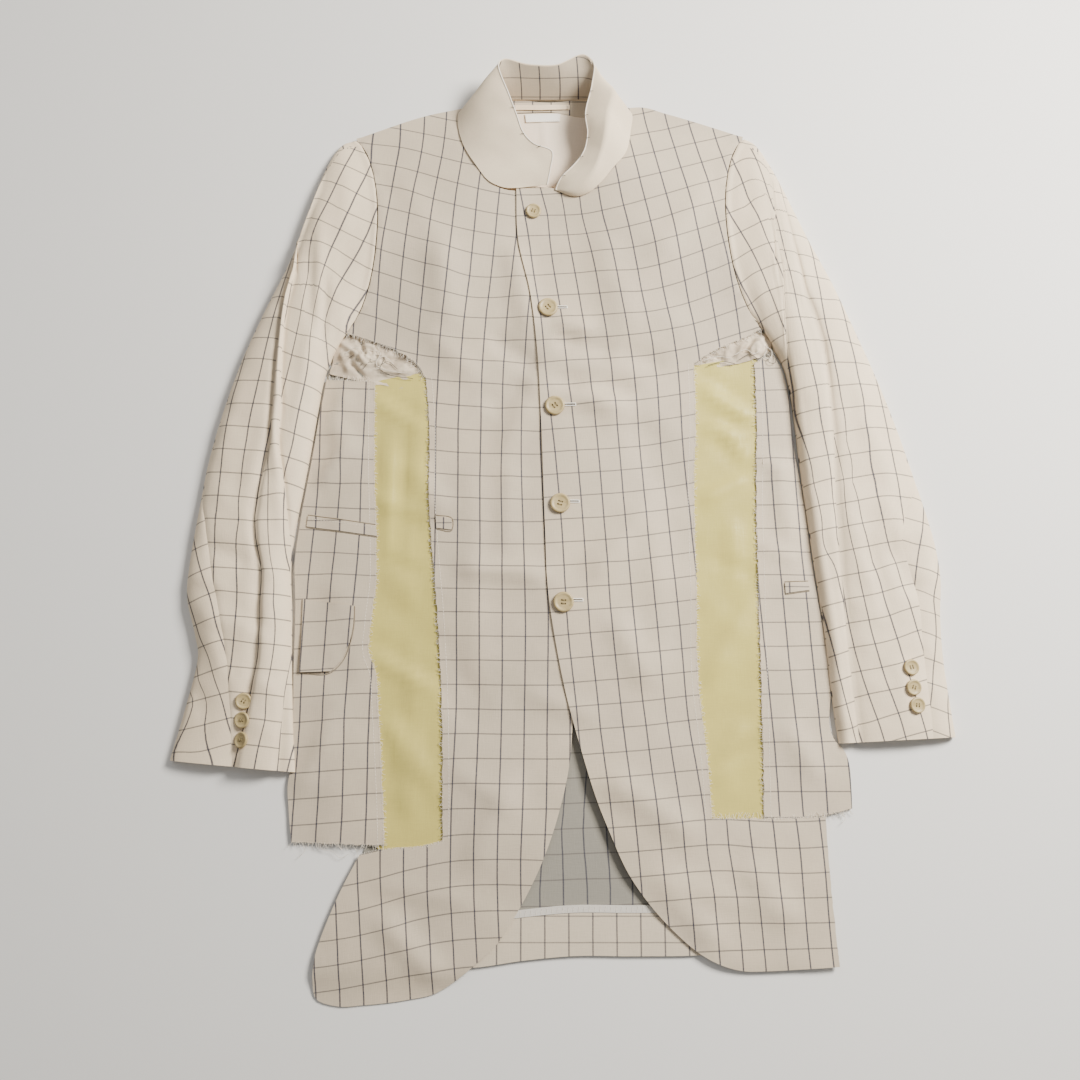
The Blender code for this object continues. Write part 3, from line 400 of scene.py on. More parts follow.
def relief(x, y):
    rise = ripple(x, y, 38.0, 0.8) + ripple(x, y, 17.0, 0.3, 2.0)
    for middleX, middleY, halfWidth, halfLength, height in fullness:
        rise = rise + height * np.exp(-((x - middleX) / halfWidth) ** 2 - ((y - middleY) / halfLength) ** 2)
    for fold in bodyFolds:
        rise = rise + bodyForm["foldShare"] * ridge(x, y, *fold)
    shoulderY = bodyForm["neckPointY"] - bodyForm["shoulderSlope"] * np.maximum(
        0.0, np.abs(x - bodyForm["neckX"]) - bodyForm["neckHalf"])
    below = easeIn((shoulderY - y) / bodyForm["shoulderRoll"])
    return np.maximum(rise, bodyForm["lowest"]) * below - bodyForm["shoulderTuck"] * (1.0 - below)


def armholeRoll(x, y):  # the seam allowance lifts the fronts in a narrow roll beside each sleeve
    away = np.full(np.shape(x), 99.0)
    for spotX, spotY in armholeLine:
        away = np.minimum(away, np.hypot(x - spotX, y - spotY))
    fromRoll = (away - bodyForm["seamRollAway"]) / bodyForm["seamRollHalf"]
    return bodyForm["seamRoll"] * np.exp(-(fromRoll ** 2))


def frontUnder(x, y, lift, dropStart, dropEnd):
    pastHem = easeIn((dropStart - y) / (dropStart - dropEnd))
    return (cloth["frontLevel"] + lift + relief(x, y) + armholeRoll(x, y)) * (1.0 - pastHem)


def rightFrontUnder(x, y):
    return frontUnder(x, y, 0.0, *bodyForm["rightHemDrop"])


def leftFrontUnder(x, y):
    start, end = bodyForm["overlapEnd"]
    return frontUnder(x, y, cloth["overlapLift"] * (1.0 - easeIn((x - start) / (end - start))),
                      *bodyForm["leftHemDrop"])


def sideUnder(x, y):
    fold = np.maximum(np.abs(x - bodyForm["sidesMiddleX"]) - bodyForm["sideRollFrom"], 0.0)
    return rightFrontUnder(x, y) - bodyForm["sideRollDrop"] * easeIn(fold / bodyForm["sideRoll"])


def topOf(under, lift=0.0):
    return lambda x, y: under(x, y) + cloth["panelTop"] + lift


# Outlines of the panels: x, y
cut = {
    "necklineRight": [(-84, 952), (-88, 930), (-81, 902), (-67, 877), (-52, 859), (-38, 853), (-23, 852)],
    "necklineLeft": [(-25, 856), (19, 853), (34, 844), (49, 847), (62, 857), (77, 874), (89, 891), (96, 921),
                     (97, 952)],
    "shoulderRight": [(-197, 916), (-116, 945), (-84, 952)],
    "shoulderLeft": [(97, 952), (110, 953), (135, 946), (218, 918)],
    "underarmRight": [(-205, 695), (-170, 684), (-126, 660), (-117, 646)],
    "underarmLeft": [(232, 700), (204, 686), (183, 677), (158, 661)],
    "frontRawRight": [(-117, 646), (-113, 604), (-111, 517), (-100, 393), (-94, 289), (-92, 188)],
    "frontRawLeft": [(158, 661), (158, 592), (155, 541), (154.5, 430), (154, 329), (158, 290), (163, 208)],
    "skirtTopRight": [(-92, 188), (-106, 184), (-154, 179), (-170, 175)],
    "skirtRight": [(-170, 175), (-184, 148), (-198, 116), (-209, 81), (-210, 61), (-208, 48), (-187, 40),
                   (-163, 41), (-120, 46), (-97, 51), (-83, 59), (-61, 76), (-40, 95), (-23, 120), (1, 166),
                   (20, 221), (29, 265), (31, 290), (39, 414), (38, 513), (34, 614), (26, 720), (12, 829),
                   (8, 846)],
    "skirtTopLeft": [(163, 208), (214, 208), (271, 210)],
    "skirtSideLeft": [(271, 210), (272, 162), (277, 75)],
    "skirtLeft": [(277, 75), (246, 73), (209, 71), (189, 71), (169, 76), (149, 86), (127, 104), (106, 126),
                  (83, 158), (66, 195), (54, 225), (40, 270), (34, 291), (28, 313), (16, 371), (8, 425),
                  (5, 490), (1, 603), (-3, 677), (-10, 736), (-23, 798), (-25, 856)],
    "sideFoldRight": [(-219, 645), (-224, 610), (-228, 579), (-235, 530), (-241, 485), (-243.5, 454),
                      (-241.5, 423), (-240, 350), (-238.5, 300), (-238, 256), (-240.5, 243), (-239, 215),
                      (-235, 186)],
    "sideFoldLeft": [(240, 672), (249, 652), (253, 631), (254, 611), (257, 572), (264, 519), (274.5, 410),
                     (279.5, 374), (282, 333), (284.5, 280), (291, 273), (297, 234), (297, 217)],
    "backHemLine": [(-186, 78), (-120, 74), (-61, 74), (-16, 80), (28, 84), (86, 84), (150, 85), (200, 90),
                    (262, 98)],
    "backNeck": [(97, 954), (60, 962), (5, 965), (-48, 962), (-84, 953)],
    "sideRawRight": [(-147, 183.5), (-150, 232), (-157, 318), (-160, 347), (-166.5, 364), (-166, 393),
                     (-162, 439), (-163, 470), (-168, 580), (-169, 642)],
    "sideRawLeft": [(213, 209), (214.5, 312), (215.5, 410), (217, 519), (220, 592), (220.5, 662.5)],
    "stripRight": [(-176, 642), (-110, 646), (-106, 604), (-104, 517), (-93, 393), (-87, 289), (-85, 190),
                   (-154, 181), (-157, 232), (-164, 318), (-167, 347), (-173, 364), (-172, 393), (-169, 439),
                   (-170, 470), (-175, 580)],
    "stripLeft": [(151, 659), (227, 663), (226, 592), (223, 519), (221, 410), (220, 312), (219, 207),
                  (156, 207), (151, 290), (147, 329), (147, 430), (148, 541), (151, 592)],
}

# Sleeves: outer edge x, y, inner edge x, y and height of the filled sleeve, shoulder to cuff
sleeveRows = {
    "right": [
        (-198, 913, -202.5, 694, 17), (-213, 907, -207.5, 682, 19), (-228, 880, -214, 667, 21),
        (-244, 831, -221.5, 643, 23), (-261, 775, -226.5, 608, 23), (-285, 719, -231, 573, 22),
        (-306, 665, -238, 525, 21), (-322, 611, -244, 485, 20), (-334, 559, -246.5, 448, 19),
        (-341, 507, -244.5, 416, 19), (-347, 456, -243, 386, 18), (-348, 420, -242, 360, 18),
        (-338, 383, -240.5, 334, 17), (-334, 358, -239.5, 318, 17), (-343, 312, -237.5, 286, 15),
        (-355, 262, -234, 251, 13)],
    "left": [
        (219, 915, 232.5, 699, 17), (231, 908, 238, 687, 19), (247, 880, 244, 672, 21),
        (263, 842, 251.5, 652, 23), (282, 797, 256.5, 622, 23), (305, 747, 259, 592, 22),
        (327, 692, 261.5, 558, 21), (347, 638, 264.5, 522, 20), (364, 585, 268.5, 483, 19),
        (378, 533, 272, 447, 19), (391, 482, 275.5, 413, 18), (396, 440, 278.5, 385, 18),
        (393, 400, 280.5, 358, 17), (393, 360, 282, 332, 16), (396, 322, 284, 305, 15),
        (400, 284, 287, 278, 13)],
}
armhole = {"bow": 30.0, "roundness": 1.3, "rows": 3.0, "steps": 24, "gap": 0.5}


def sleeveSpot(row, across, bow):  # across runs from 0 at the outer edge to 1 at the inner one
    outerX, outerY, innerX, innerY = row[:4]
    length = math.hypot(innerX - outerX, innerY - outerY)
    bend = bow * (2.0 * np.sqrt(np.clip(across * (1.0 - across), 0.0, 0.25))) ** armhole["roundness"]
    x = outerX + (innerX - outerX) * across - (innerY - outerY) / length * bend
    y = outerY + (innerY - outerY) * across + (innerX - outerX) / length * bend
    return x, y


def armholeEdge(side):
    turns = np.linspace(0.0, math.pi, armhole["steps"] + 1)[1:-1]
    bow = armhole["bow"] if side == "right" else -armhole["bow"]
    inset = math.copysign(armhole["gap"], bow)
    x, y = sleeveSpot(sleeveRows[side][0], 0.5 - 0.5 * np.cos(turns), bow + inset)
    return list(zip(x + inset, y))


armholeLine = [spot for side in ("right", "left") for spot in smoothPath(armholeEdge(side), 2.5)]

# Cloth panels: a smoothed outline, cut into a fine grid and laid over its height
def joinStretches(stretches):
    joined = []
    for points, ragged in stretches:
        path = smoothPath(points, 3.0 if ragged else 5.0)
        for number, (x, y) in enumerate(path):
            irregular = ragged if 0 < number < len(path) - 1 else 0.0
            spot = (x + chance.uniform(-irregular, irregular), y + chance.uniform(-irregular, irregular))
            if not joined or math.dist(joined[-1], spot) > 1.0:
                joined.append(spot)
    if math.dist(joined[0], joined[-1]) < 1.0:
        joined.pop()
    return joined


def flatArea(outline):
    spots = np.array(outline)
    after = np.roll(spots, -1, axis=0)
    return abs(np.sum(spots[:, 0] * after[:, 1] - after[:, 0] * spots[:, 1])) / 2.0


def pieceFrom(name, mesh, finish, wall=0.0):
    mesh.materials.clear()
    mesh.materials.append(finish)
    mesh.shade_smooth()
    piece = putIn(name, mesh)
    if wall:
        solid = piece.modifiers.new("Cloth wall", "SOLIDIFY")
        solid.thickness = wall * layout["millimetre"]
        solid.offset = -1.0
        solid.use_even_offset = False
    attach(piece, "root")
    return piece


def writeChart(shape, readings, bandOf=lambda face: 0):  # the check's column and row at each face corner
    uv = shape.loops.layers.uv.new("check")
    for face in shape.faces:
        columns, rows = readings[bandOf(face)]
        for loop in face.loops:
            loop[uv].uv = (columns[loop.vert.index], rows[loop.vert.index])


def settle(shape, spots):  # points go to the frame's metres, and only open edges stay sharp
    for vertex, spot in zip(shape.verts, toMetres(spots)):
        vertex.co = spot
    for edge in shape.edges:
        edge.smooth = not edge.is_boundary


def clothPanel(name, node, outline, top, finish, chart=None, wall=cloth["wall"], pitch=7.0,
               restsOn=("backPanel",)):
    spots = np.array(outline)
    sheet = bmesh.new()
    sheet.faces.new([sheet.verts.new((x, y, 0.0)) for x, y in outline])
    low, high = spots.min(axis=0), spots.max(axis=0)
    for axis, normal in ((0, Vector((1.0, 0.0, 0.0))), (1, Vector((0.0, 1.0, 0.0)))):
        for step in range(math.ceil(low[axis] / pitch), math.floor(high[axis] / pitch) + 1):
            everything = sheet.verts[:] + sheet.edges[:] + sheet.faces[:]
            bmesh.ops.bisect_plane(sheet, geom=everything, dist=0.05, plane_co=normal * (step * pitch),
                                   plane_no=normal)
    bmesh.ops.triangulate(sheet, faces=[face for face in sheet.faces if len(face.verts) > 4])
    sheet.normal_update()
    if sum(face.normal.z for face in sheet.faces) < 0.0:
        bmesh.ops.reverse_faces(sheet, faces=sheet.faces[:])
    sheet.verts.index_update()
    x = np.array([vertex.co.x for vertex in sheet.verts])
    y = np.array([vertex.co.y for vertex in sheet.verts])
    if chart:
        writeChart(sheet, [chart(x, y)])
    settle(sheet, np.column_stack([x, y, top(x, y)]))
    piece = pieceFrom(name, meshFrom(name, sheet), finish, wall)
    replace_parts(piece, node)
    area = flatArea(outline) * layout["millimetre"] ** 2
    soft.append((piece, tuple((high - low) * layout["millimetre"]), "laid", list(restsOn), area))
    print(name, "laid")
    return piece


soft = []          # every cloth piece, with its flat size, how it lies, what it rests on and its area
trims = {}
raw = 0.7          # millimetres that a cut edge wanders
rightOutline = joinStretches([
    (cut["necklineRight"][::-1], 0.0), (cut["shoulderRight"][::-1], 0.0), (armholeEdge("right"), 0.0),
    (cut["underarmRight"], raw), (cut["frontRawRight"], raw), (cut["skirtTopRight"], raw),
    (cut["skirtRight"], 0.0)])
leftOutline = joinStretches([
    (cut["necklineLeft"], 0.0), (cut["shoulderLeft"], 0.0), (armholeEdge("left"), 0.0),
    (cut["underarmLeft"], raw), (cut["frontRawLeft"], raw), (cut["skirtTopLeft"], raw),
    (cut["skirtSideLeft"], 0.3), (cut["skirtLeft"], 0.0)])
backOutline = joinStretches([
    (cut["backNeck"], 0.0), ([(-84, 952), (-116, 943), (-197, 915)], 0.0), (armholeEdge("right"), 0.0),
    ([(-209.5, 668)] + cut["sideFoldRight"], 0.3), ([(-235, 186), (-165, 184)], 0.3),
    ([(-165, 184), (-186, 78)], 0.3), (cut["backHemLine"], 0.0), ([(262, 98), (262, 207), (297, 217)], 0.3),
    (cut["sideFoldLeft"][::-1], 0.3), (armholeEdge("left")[::-1], 0.0),
    ([(218, 917), (135, 944), (97, 952)], 0.0)])

clothPanel("backPanel", "back", backOutline, lambda x, y: cloth["backTop"] + 0.0 * x, wrongSideCloth,
           backCheck, pitch=18.0, restsOn=())


def lowLevel(lift):
    return lambda x, y: cloth["backTop"] + cloth["gap"] + cloth["lining"] + lift + ripple(x, y, 22.0, 0.08)


hemDepth = {"tape": (38.4, 45.2), "fold": 38.0}
hemTop, tapeLow, tapeTop = [[(x, y + rise) for x, y in cut["backHemLine"]]
                            for rise in (hemDepth["fold"], *hemDepth["tape"])]
clothPanel("turnedHem", "back_hem", joinStretches([(cut["backHemLine"], 0.0), (hemTop[::-1], 0.0)]),
           lowLevel(0.1), hemCloth, turnedHemCheck, 1.0, 9.0)
clothPanel("hemTape", "hem_tape", joinStretches([(tapeLow, 0.0), (tapeTop[::-1], 0.0)]), lowLevel(0.3),
           tapeCloth, None, 1.0, 9.0)
clothPanel("rightFront", "front_right", rightOutline, topOf(rightFrontUnder), bodyCloth,
           rightFrontCheck, restsOn=("backPanel", "turnedHem"))
leftFront = clothPanel("leftFront", "front_left", leftOutline, topOf(leftFrontUnder), bodyCloth,
                       leftFrontCheck, restsOn=("rightFront", "backPanel"))
rightSideOutline = joinStretches([(cut["sideFoldRight"], 0.0), ([(-235, 186), (-147, 183.5)], raw),
                                  (cut["sideRawRight"], raw), ([(-169, 642), (-219, 645)], raw)])
leftSideOutline = joinStretches([(cut["sideRawLeft"], raw), ([(220.5, 662.5), (232, 668), (240, 672)], raw),
                                 (cut["sideFoldLeft"], 0.0), ([(297, 217), (255, 209), (213, 209)], raw)])
clothPanel("rightSidePanel", "side_panel_right", rightSideOutline, topOf(sideUnder), bodyCloth,
           rightSideCheck)
clothPanel("leftSidePanel", "side_panel_left", leftSideOutline, topOf(sideUnder), bodyCloth,
           leftSideCheck)

# The let-in strips are softer cloth, with small slanting creases: start x, y, end x, y, half width, height
stripFolds = [
    (165, 651, 216, 615, 6, -2.4), (165, 638, 216, 601, 7, 2.6), (164, 605, 214, 592, 5, -2.2),
    (164, 598, 214, 583, 6, 2.0), (185, 590, 208, 561, 4, 2.4), (160, 531, 208, 554, 6, -2.6),
    (160, 519, 208, 542, 7, 2.0), (210, 420, 160, 330, 10, 2.0), (200, 300, 165, 240, 9, 1.8),
    (-172, 640, -120, 600, 6, -2.2), (-172, 628, -115, 590, 6, 2.4), (-168, 520, -110, 500, 6, 1.8),
    (-170, 380, -105, 340, 7, -2.2), (-165, 366, -100, 328, 7, 2.0), (-150, 300, -100, 240, 9, 1.8),
    (-152, 600, -140, 420, 8, 1.5), (-140, 300, -120, 200, 8, 1.5), (190, 500, 196, 430, 9, 1.5),
    (170, 460, 214, 440, 6, -1.6), (-160, 460, -112, 440, 6, -1.6), (158, 250, 212, 280, 6, -1.4),
    (-120, 636, -131, 500, 3, 1.8), (-131, 500, -128, 400, 4, 1.4), (-155, 590, -151, 440, 5, 1.5),
    (-140, 560, -142, 450, 5, -1.2), (-126, 380, -118, 240, 5, 1.2),
]

creaseForm = {"share": 1.5, "lowest": -1.0}


def stripTop(x, y):
    rise = ripple(x, y, 14.0, 0.4, 1.0)
    for crease in stripFolds:
        rise = rise + creaseForm["share"] * ridge(x, y, *crease)
    return rightFrontUnder(x, y) - cloth["stripDrop"] + np.maximum(rise, creaseForm["lowest"])


for side in ("right", "left"):
    around = cut["strip" + side.capitalize()]
    clothPanel(side + "LetInStrip", "insert_" + side, joinStretches([(around + around[:1], 0.0)]), stripTop,
               yellowCloth, None, 1.1)

# Pockets
pockets = {
    "ticketWelt": [(-233, 491), (-162, 481), (-164, 492), (-232, 502), (-233, 491)],
    "weltRemnant": [(-103, 489), (-88, 487), (-88, 498), (-104, 501), (-103, 489)],
    "pocketFlap": [(-233.5, 346), (-203, 347), (-193, 358), (-186, 375), (-183, 393), (-183, 411),
                   (-233.5, 418), (-233.5, 346)],
    "leftWelt": [(242, 423.5), (266, 427), (265, 435), (241.5, 434), (242, 423.5)],
}


def cornered(points):  # an outline with straight sides
    return joinStretches([([first, second], 0.0) for first, second in zip(points, points[1:])])


flapForm = {"lift": 3.1, "swing": 1.6, "fromY": 400.0, "over": 45.0}


def flapTop(x, y):  # the flap hangs free at its lower end
    loose = easeIn((flapForm["fromY"] - y) / flapForm["over"])
    return sideUnder(x, y) + flapForm["lift"] + flapForm["swing"] * loose


for name, node, owner, top, chart in (
        ("ticketWelt", "ticket_welt", "rightSidePanel", topOf(sideUnder, 1.3), evenChart(-224, 497, 24.5)),
        ("pocketFlap", "pocket_flap", "rightSidePanel", flapTop,
         lambda x, y: rightSideCheck(x + 1.5, y - 2.0)),
        ("leftWelt", "welt_left", "leftSidePanel", topOf(sideUnder, 1.3), evenChart(246, 430)),
        ("weltRemnant", "welt_remnant", "rightFront", topOf(rightFrontUnder, 1.3), evenChart(-96, 494))):
    clothPanel(name, node, cornered(pockets[name]), top, bodyCloth, chart, 1.1, 5.0, (owner,))

# Inside of the neck
neck = {
    "lining": [(-30, 846.5), (-44, 856), (-60, 877), (-74, 900), (-80, 926), (-74, 943), (-40, 945.5),
               (10, 947), (60, 946), (84, 942), (90, 918), (83, 890), (71, 873), (56, 856), (44, 847),
               (-30, 846.5)],
    "facing": [(-42, 946.5), (10, 948), (58, 947), (62, 957), (10, 959), (-46, 956.5), (-42, 946.5)],
    "loop": [(-29, 950), (0, 949.3), (32, 950.5), (32, 956), (0, 955), (-29, 955.5), (-29, 950)],
    "label": [(-15, 935.5), (21, 936.5), (22, 945.5), (-16, 945), (-15, 935.5)],
}


def neckLiningTop(x, y):
    seam = ridge(x, y, 3, 938, 4, 905, 2.2, 0.9) - ridge(x, y, 0, 930, 1, 880, 1.0, 0.4)
    return lowLevel(0.0)(x, y) + ripple(x, y, 12.0, 0.25) + seam


clothPanel("neckLining", "neck_lining", joinStretches([(neck["lining"], 0.0)]), neckLiningTop, creamLining,
           None, 1.0, 4.0)
clothPanel("neckFacing", "neck_facing", joinStretches([(neck["facing"], 0.0)]), lowLevel(0.6), bodyCloth,
           evenChart(-8, 960, 20.0), 1.0, 5.0)
clothPanel("hangerLoop", "hanger_loop", cornered(neck["loop"]),
           lambda x, y: lowLevel(1.7)(x, y) + 0.9 * np.cos((x - 1.5) / 31 * math.pi / 2), loopCloth,
           None, 0.9, 3.0, ("neckFacing",))
clothPanel("neckLabel", "neck_label", cornered(neck["label"]), lowLevel(1.4), labelTape, None,
           0.8, 3.0, ("neckLining",))

# Crumpled lining in the cuts under the arms: swirls x, y, radius, height, and folds as on the fronts
underarm = {
    "right": {"outline": [(-216, 651), (-170, 640), (-119, 641), (-121, 660), (-150, 676), (-172, 687),
                          (-196, 694), (-207, 684), (-216, 651)],
              "swirls": [(-177, 671, 12, 6.0), (-160, 662, 10, 3.0), (-198, 668, 9, 3.0),
                         (-140, 655, 8, 2.0)],
              "folds": [(-212, 690, -176, 662, 3, 3.5), (-200, 652, -178, 668, 3, 3.0),
                        (-216, 660, -190, 672, 2.5, -4.0), (-186, 690, -182, 672, 2.2, -4.0),
                        (-150, 676, -168, 660, 3, 3.0), (-128, 654, -160, 652, 3, 2.5),
                        (-140, 668, -165, 664, 2.2, -3.5), (-196, 664, -180, 646, 2.2, -4.0),
                        (-206, 676, -196, 652, 2.5, 2.5)]},
    "left": {"outline": [(226, 668), (190, 659), (156, 658), (184, 680), (205, 689), (230, 696), (239, 680),
                         (226, 668)],
             "swirls": [(224, 678, 11, 5.0), (190, 670, 12, 2.5), (207, 676, 8, 2.5)],
             "folds": [(232, 692, 214, 672, 3, 3.0), (222, 690, 208, 672, 2.2, -4.0),
                       (240, 680, 226, 666, 2.5, -3.5), (198, 684, 190, 668, 3, 2.5),
                       (176, 672, 190, 664, 2.2, -3.0), (210, 684, 202, 668, 2.5, 2.5)]},
}
crumple = {"level": 4.0, "lowest": 1.3}
for side, made in underarm.items():
    def crumpled(x, y, swirls=made["swirls"], folds=made["folds"]):
        rise = crumple["level"] + sum(ridge(x, y, *fold) for fold in folds)
        for number, (middleX, middleY, radius, height) in enumerate(swirls):
            reach = np.hypot(x - middleX, y - middleY)
            turn = np.arctan2(y - middleY, x - middleX)
            curl = 0.65 + 0.35 * np.cos(reach * 0.9 - turn * (2 + number % 2))
            rise = rise + height * np.exp(-(reach / radius) ** 2) * curl
        return np.maximum(rise, crumple["lowest"])

    clothPanel(side + "UnderarmLining", "armhole_lining_" + side, joinStretches([(made["outline"], 0.5)]),
               crumpled, liningWithPaintedShade, None, 0.8, 2.0)
print("body laid")

# Sleeves: three lines divide each into bands that have their own stretch of the check.
# From the outer edge: under sleeve, seam, outer band, first fold, middle band, second fold, inner band
sleeveLines = {
    "right": {
        "seam": [(-350, 560), (-338, 516), (-332, 495), (-328, 472), (-323, 448), (-317, 424), (-311, 400),
                 (-306, 376), (-301, 352), (-299, 327), (-296, 303), (-295, 277), (-293, 255), (-294, 240)],
        "first": [(-262, 800), (-254, 769), (-263, 726), (-267, 664), (-268, 637), (-269, 605), (-270, 573),
                  (-276, 544), (-279, 525), (-282, 499), (-280, 477), (-273, 448), (-273, 419), (-272, 386),
                  (-273, 358), (-278, 326), (-282, 300), (-288, 274), (-292, 240)],
        "second": [(-262, 815), (-256, 795), (-251, 769), (-260, 726), (-262, 683), (-262, 641), (-260, 615),
                   (-262, 577), (-255, 534), (-249, 486), (-242, 441), (-239, 413), (-241, 369), (-246, 325),
                   (-248, 292), (-250, 240)]},
    "left": {
        "seam": [(390, 560), (375, 529), (361, 500), (355, 474), (362, 449), (368, 425), (371, 401),
                 (371, 374), (372, 360), (373, 339), (375, 315), (376, 291), (376, 270)],
        "first": [(240, 905), (250, 880), (253, 858), (257, 830), (263, 796), (269, 763), (274, 732),
                  (280, 717), (286, 694), (290, 676), (292, 649), (293, 631), (294, 604), (295, 582),
                  (294, 526), (295, 472), (297, 425), (300, 357), (306, 281), (307, 270)],
        "second": [(226, 925), (236, 900), (243, 870), (246, 843), (245, 796), (250, 763), (250, 728),
                   (251, 694), (253, 649), (256, 629), (258, 576), (252, 540), (250, 270)]},
}
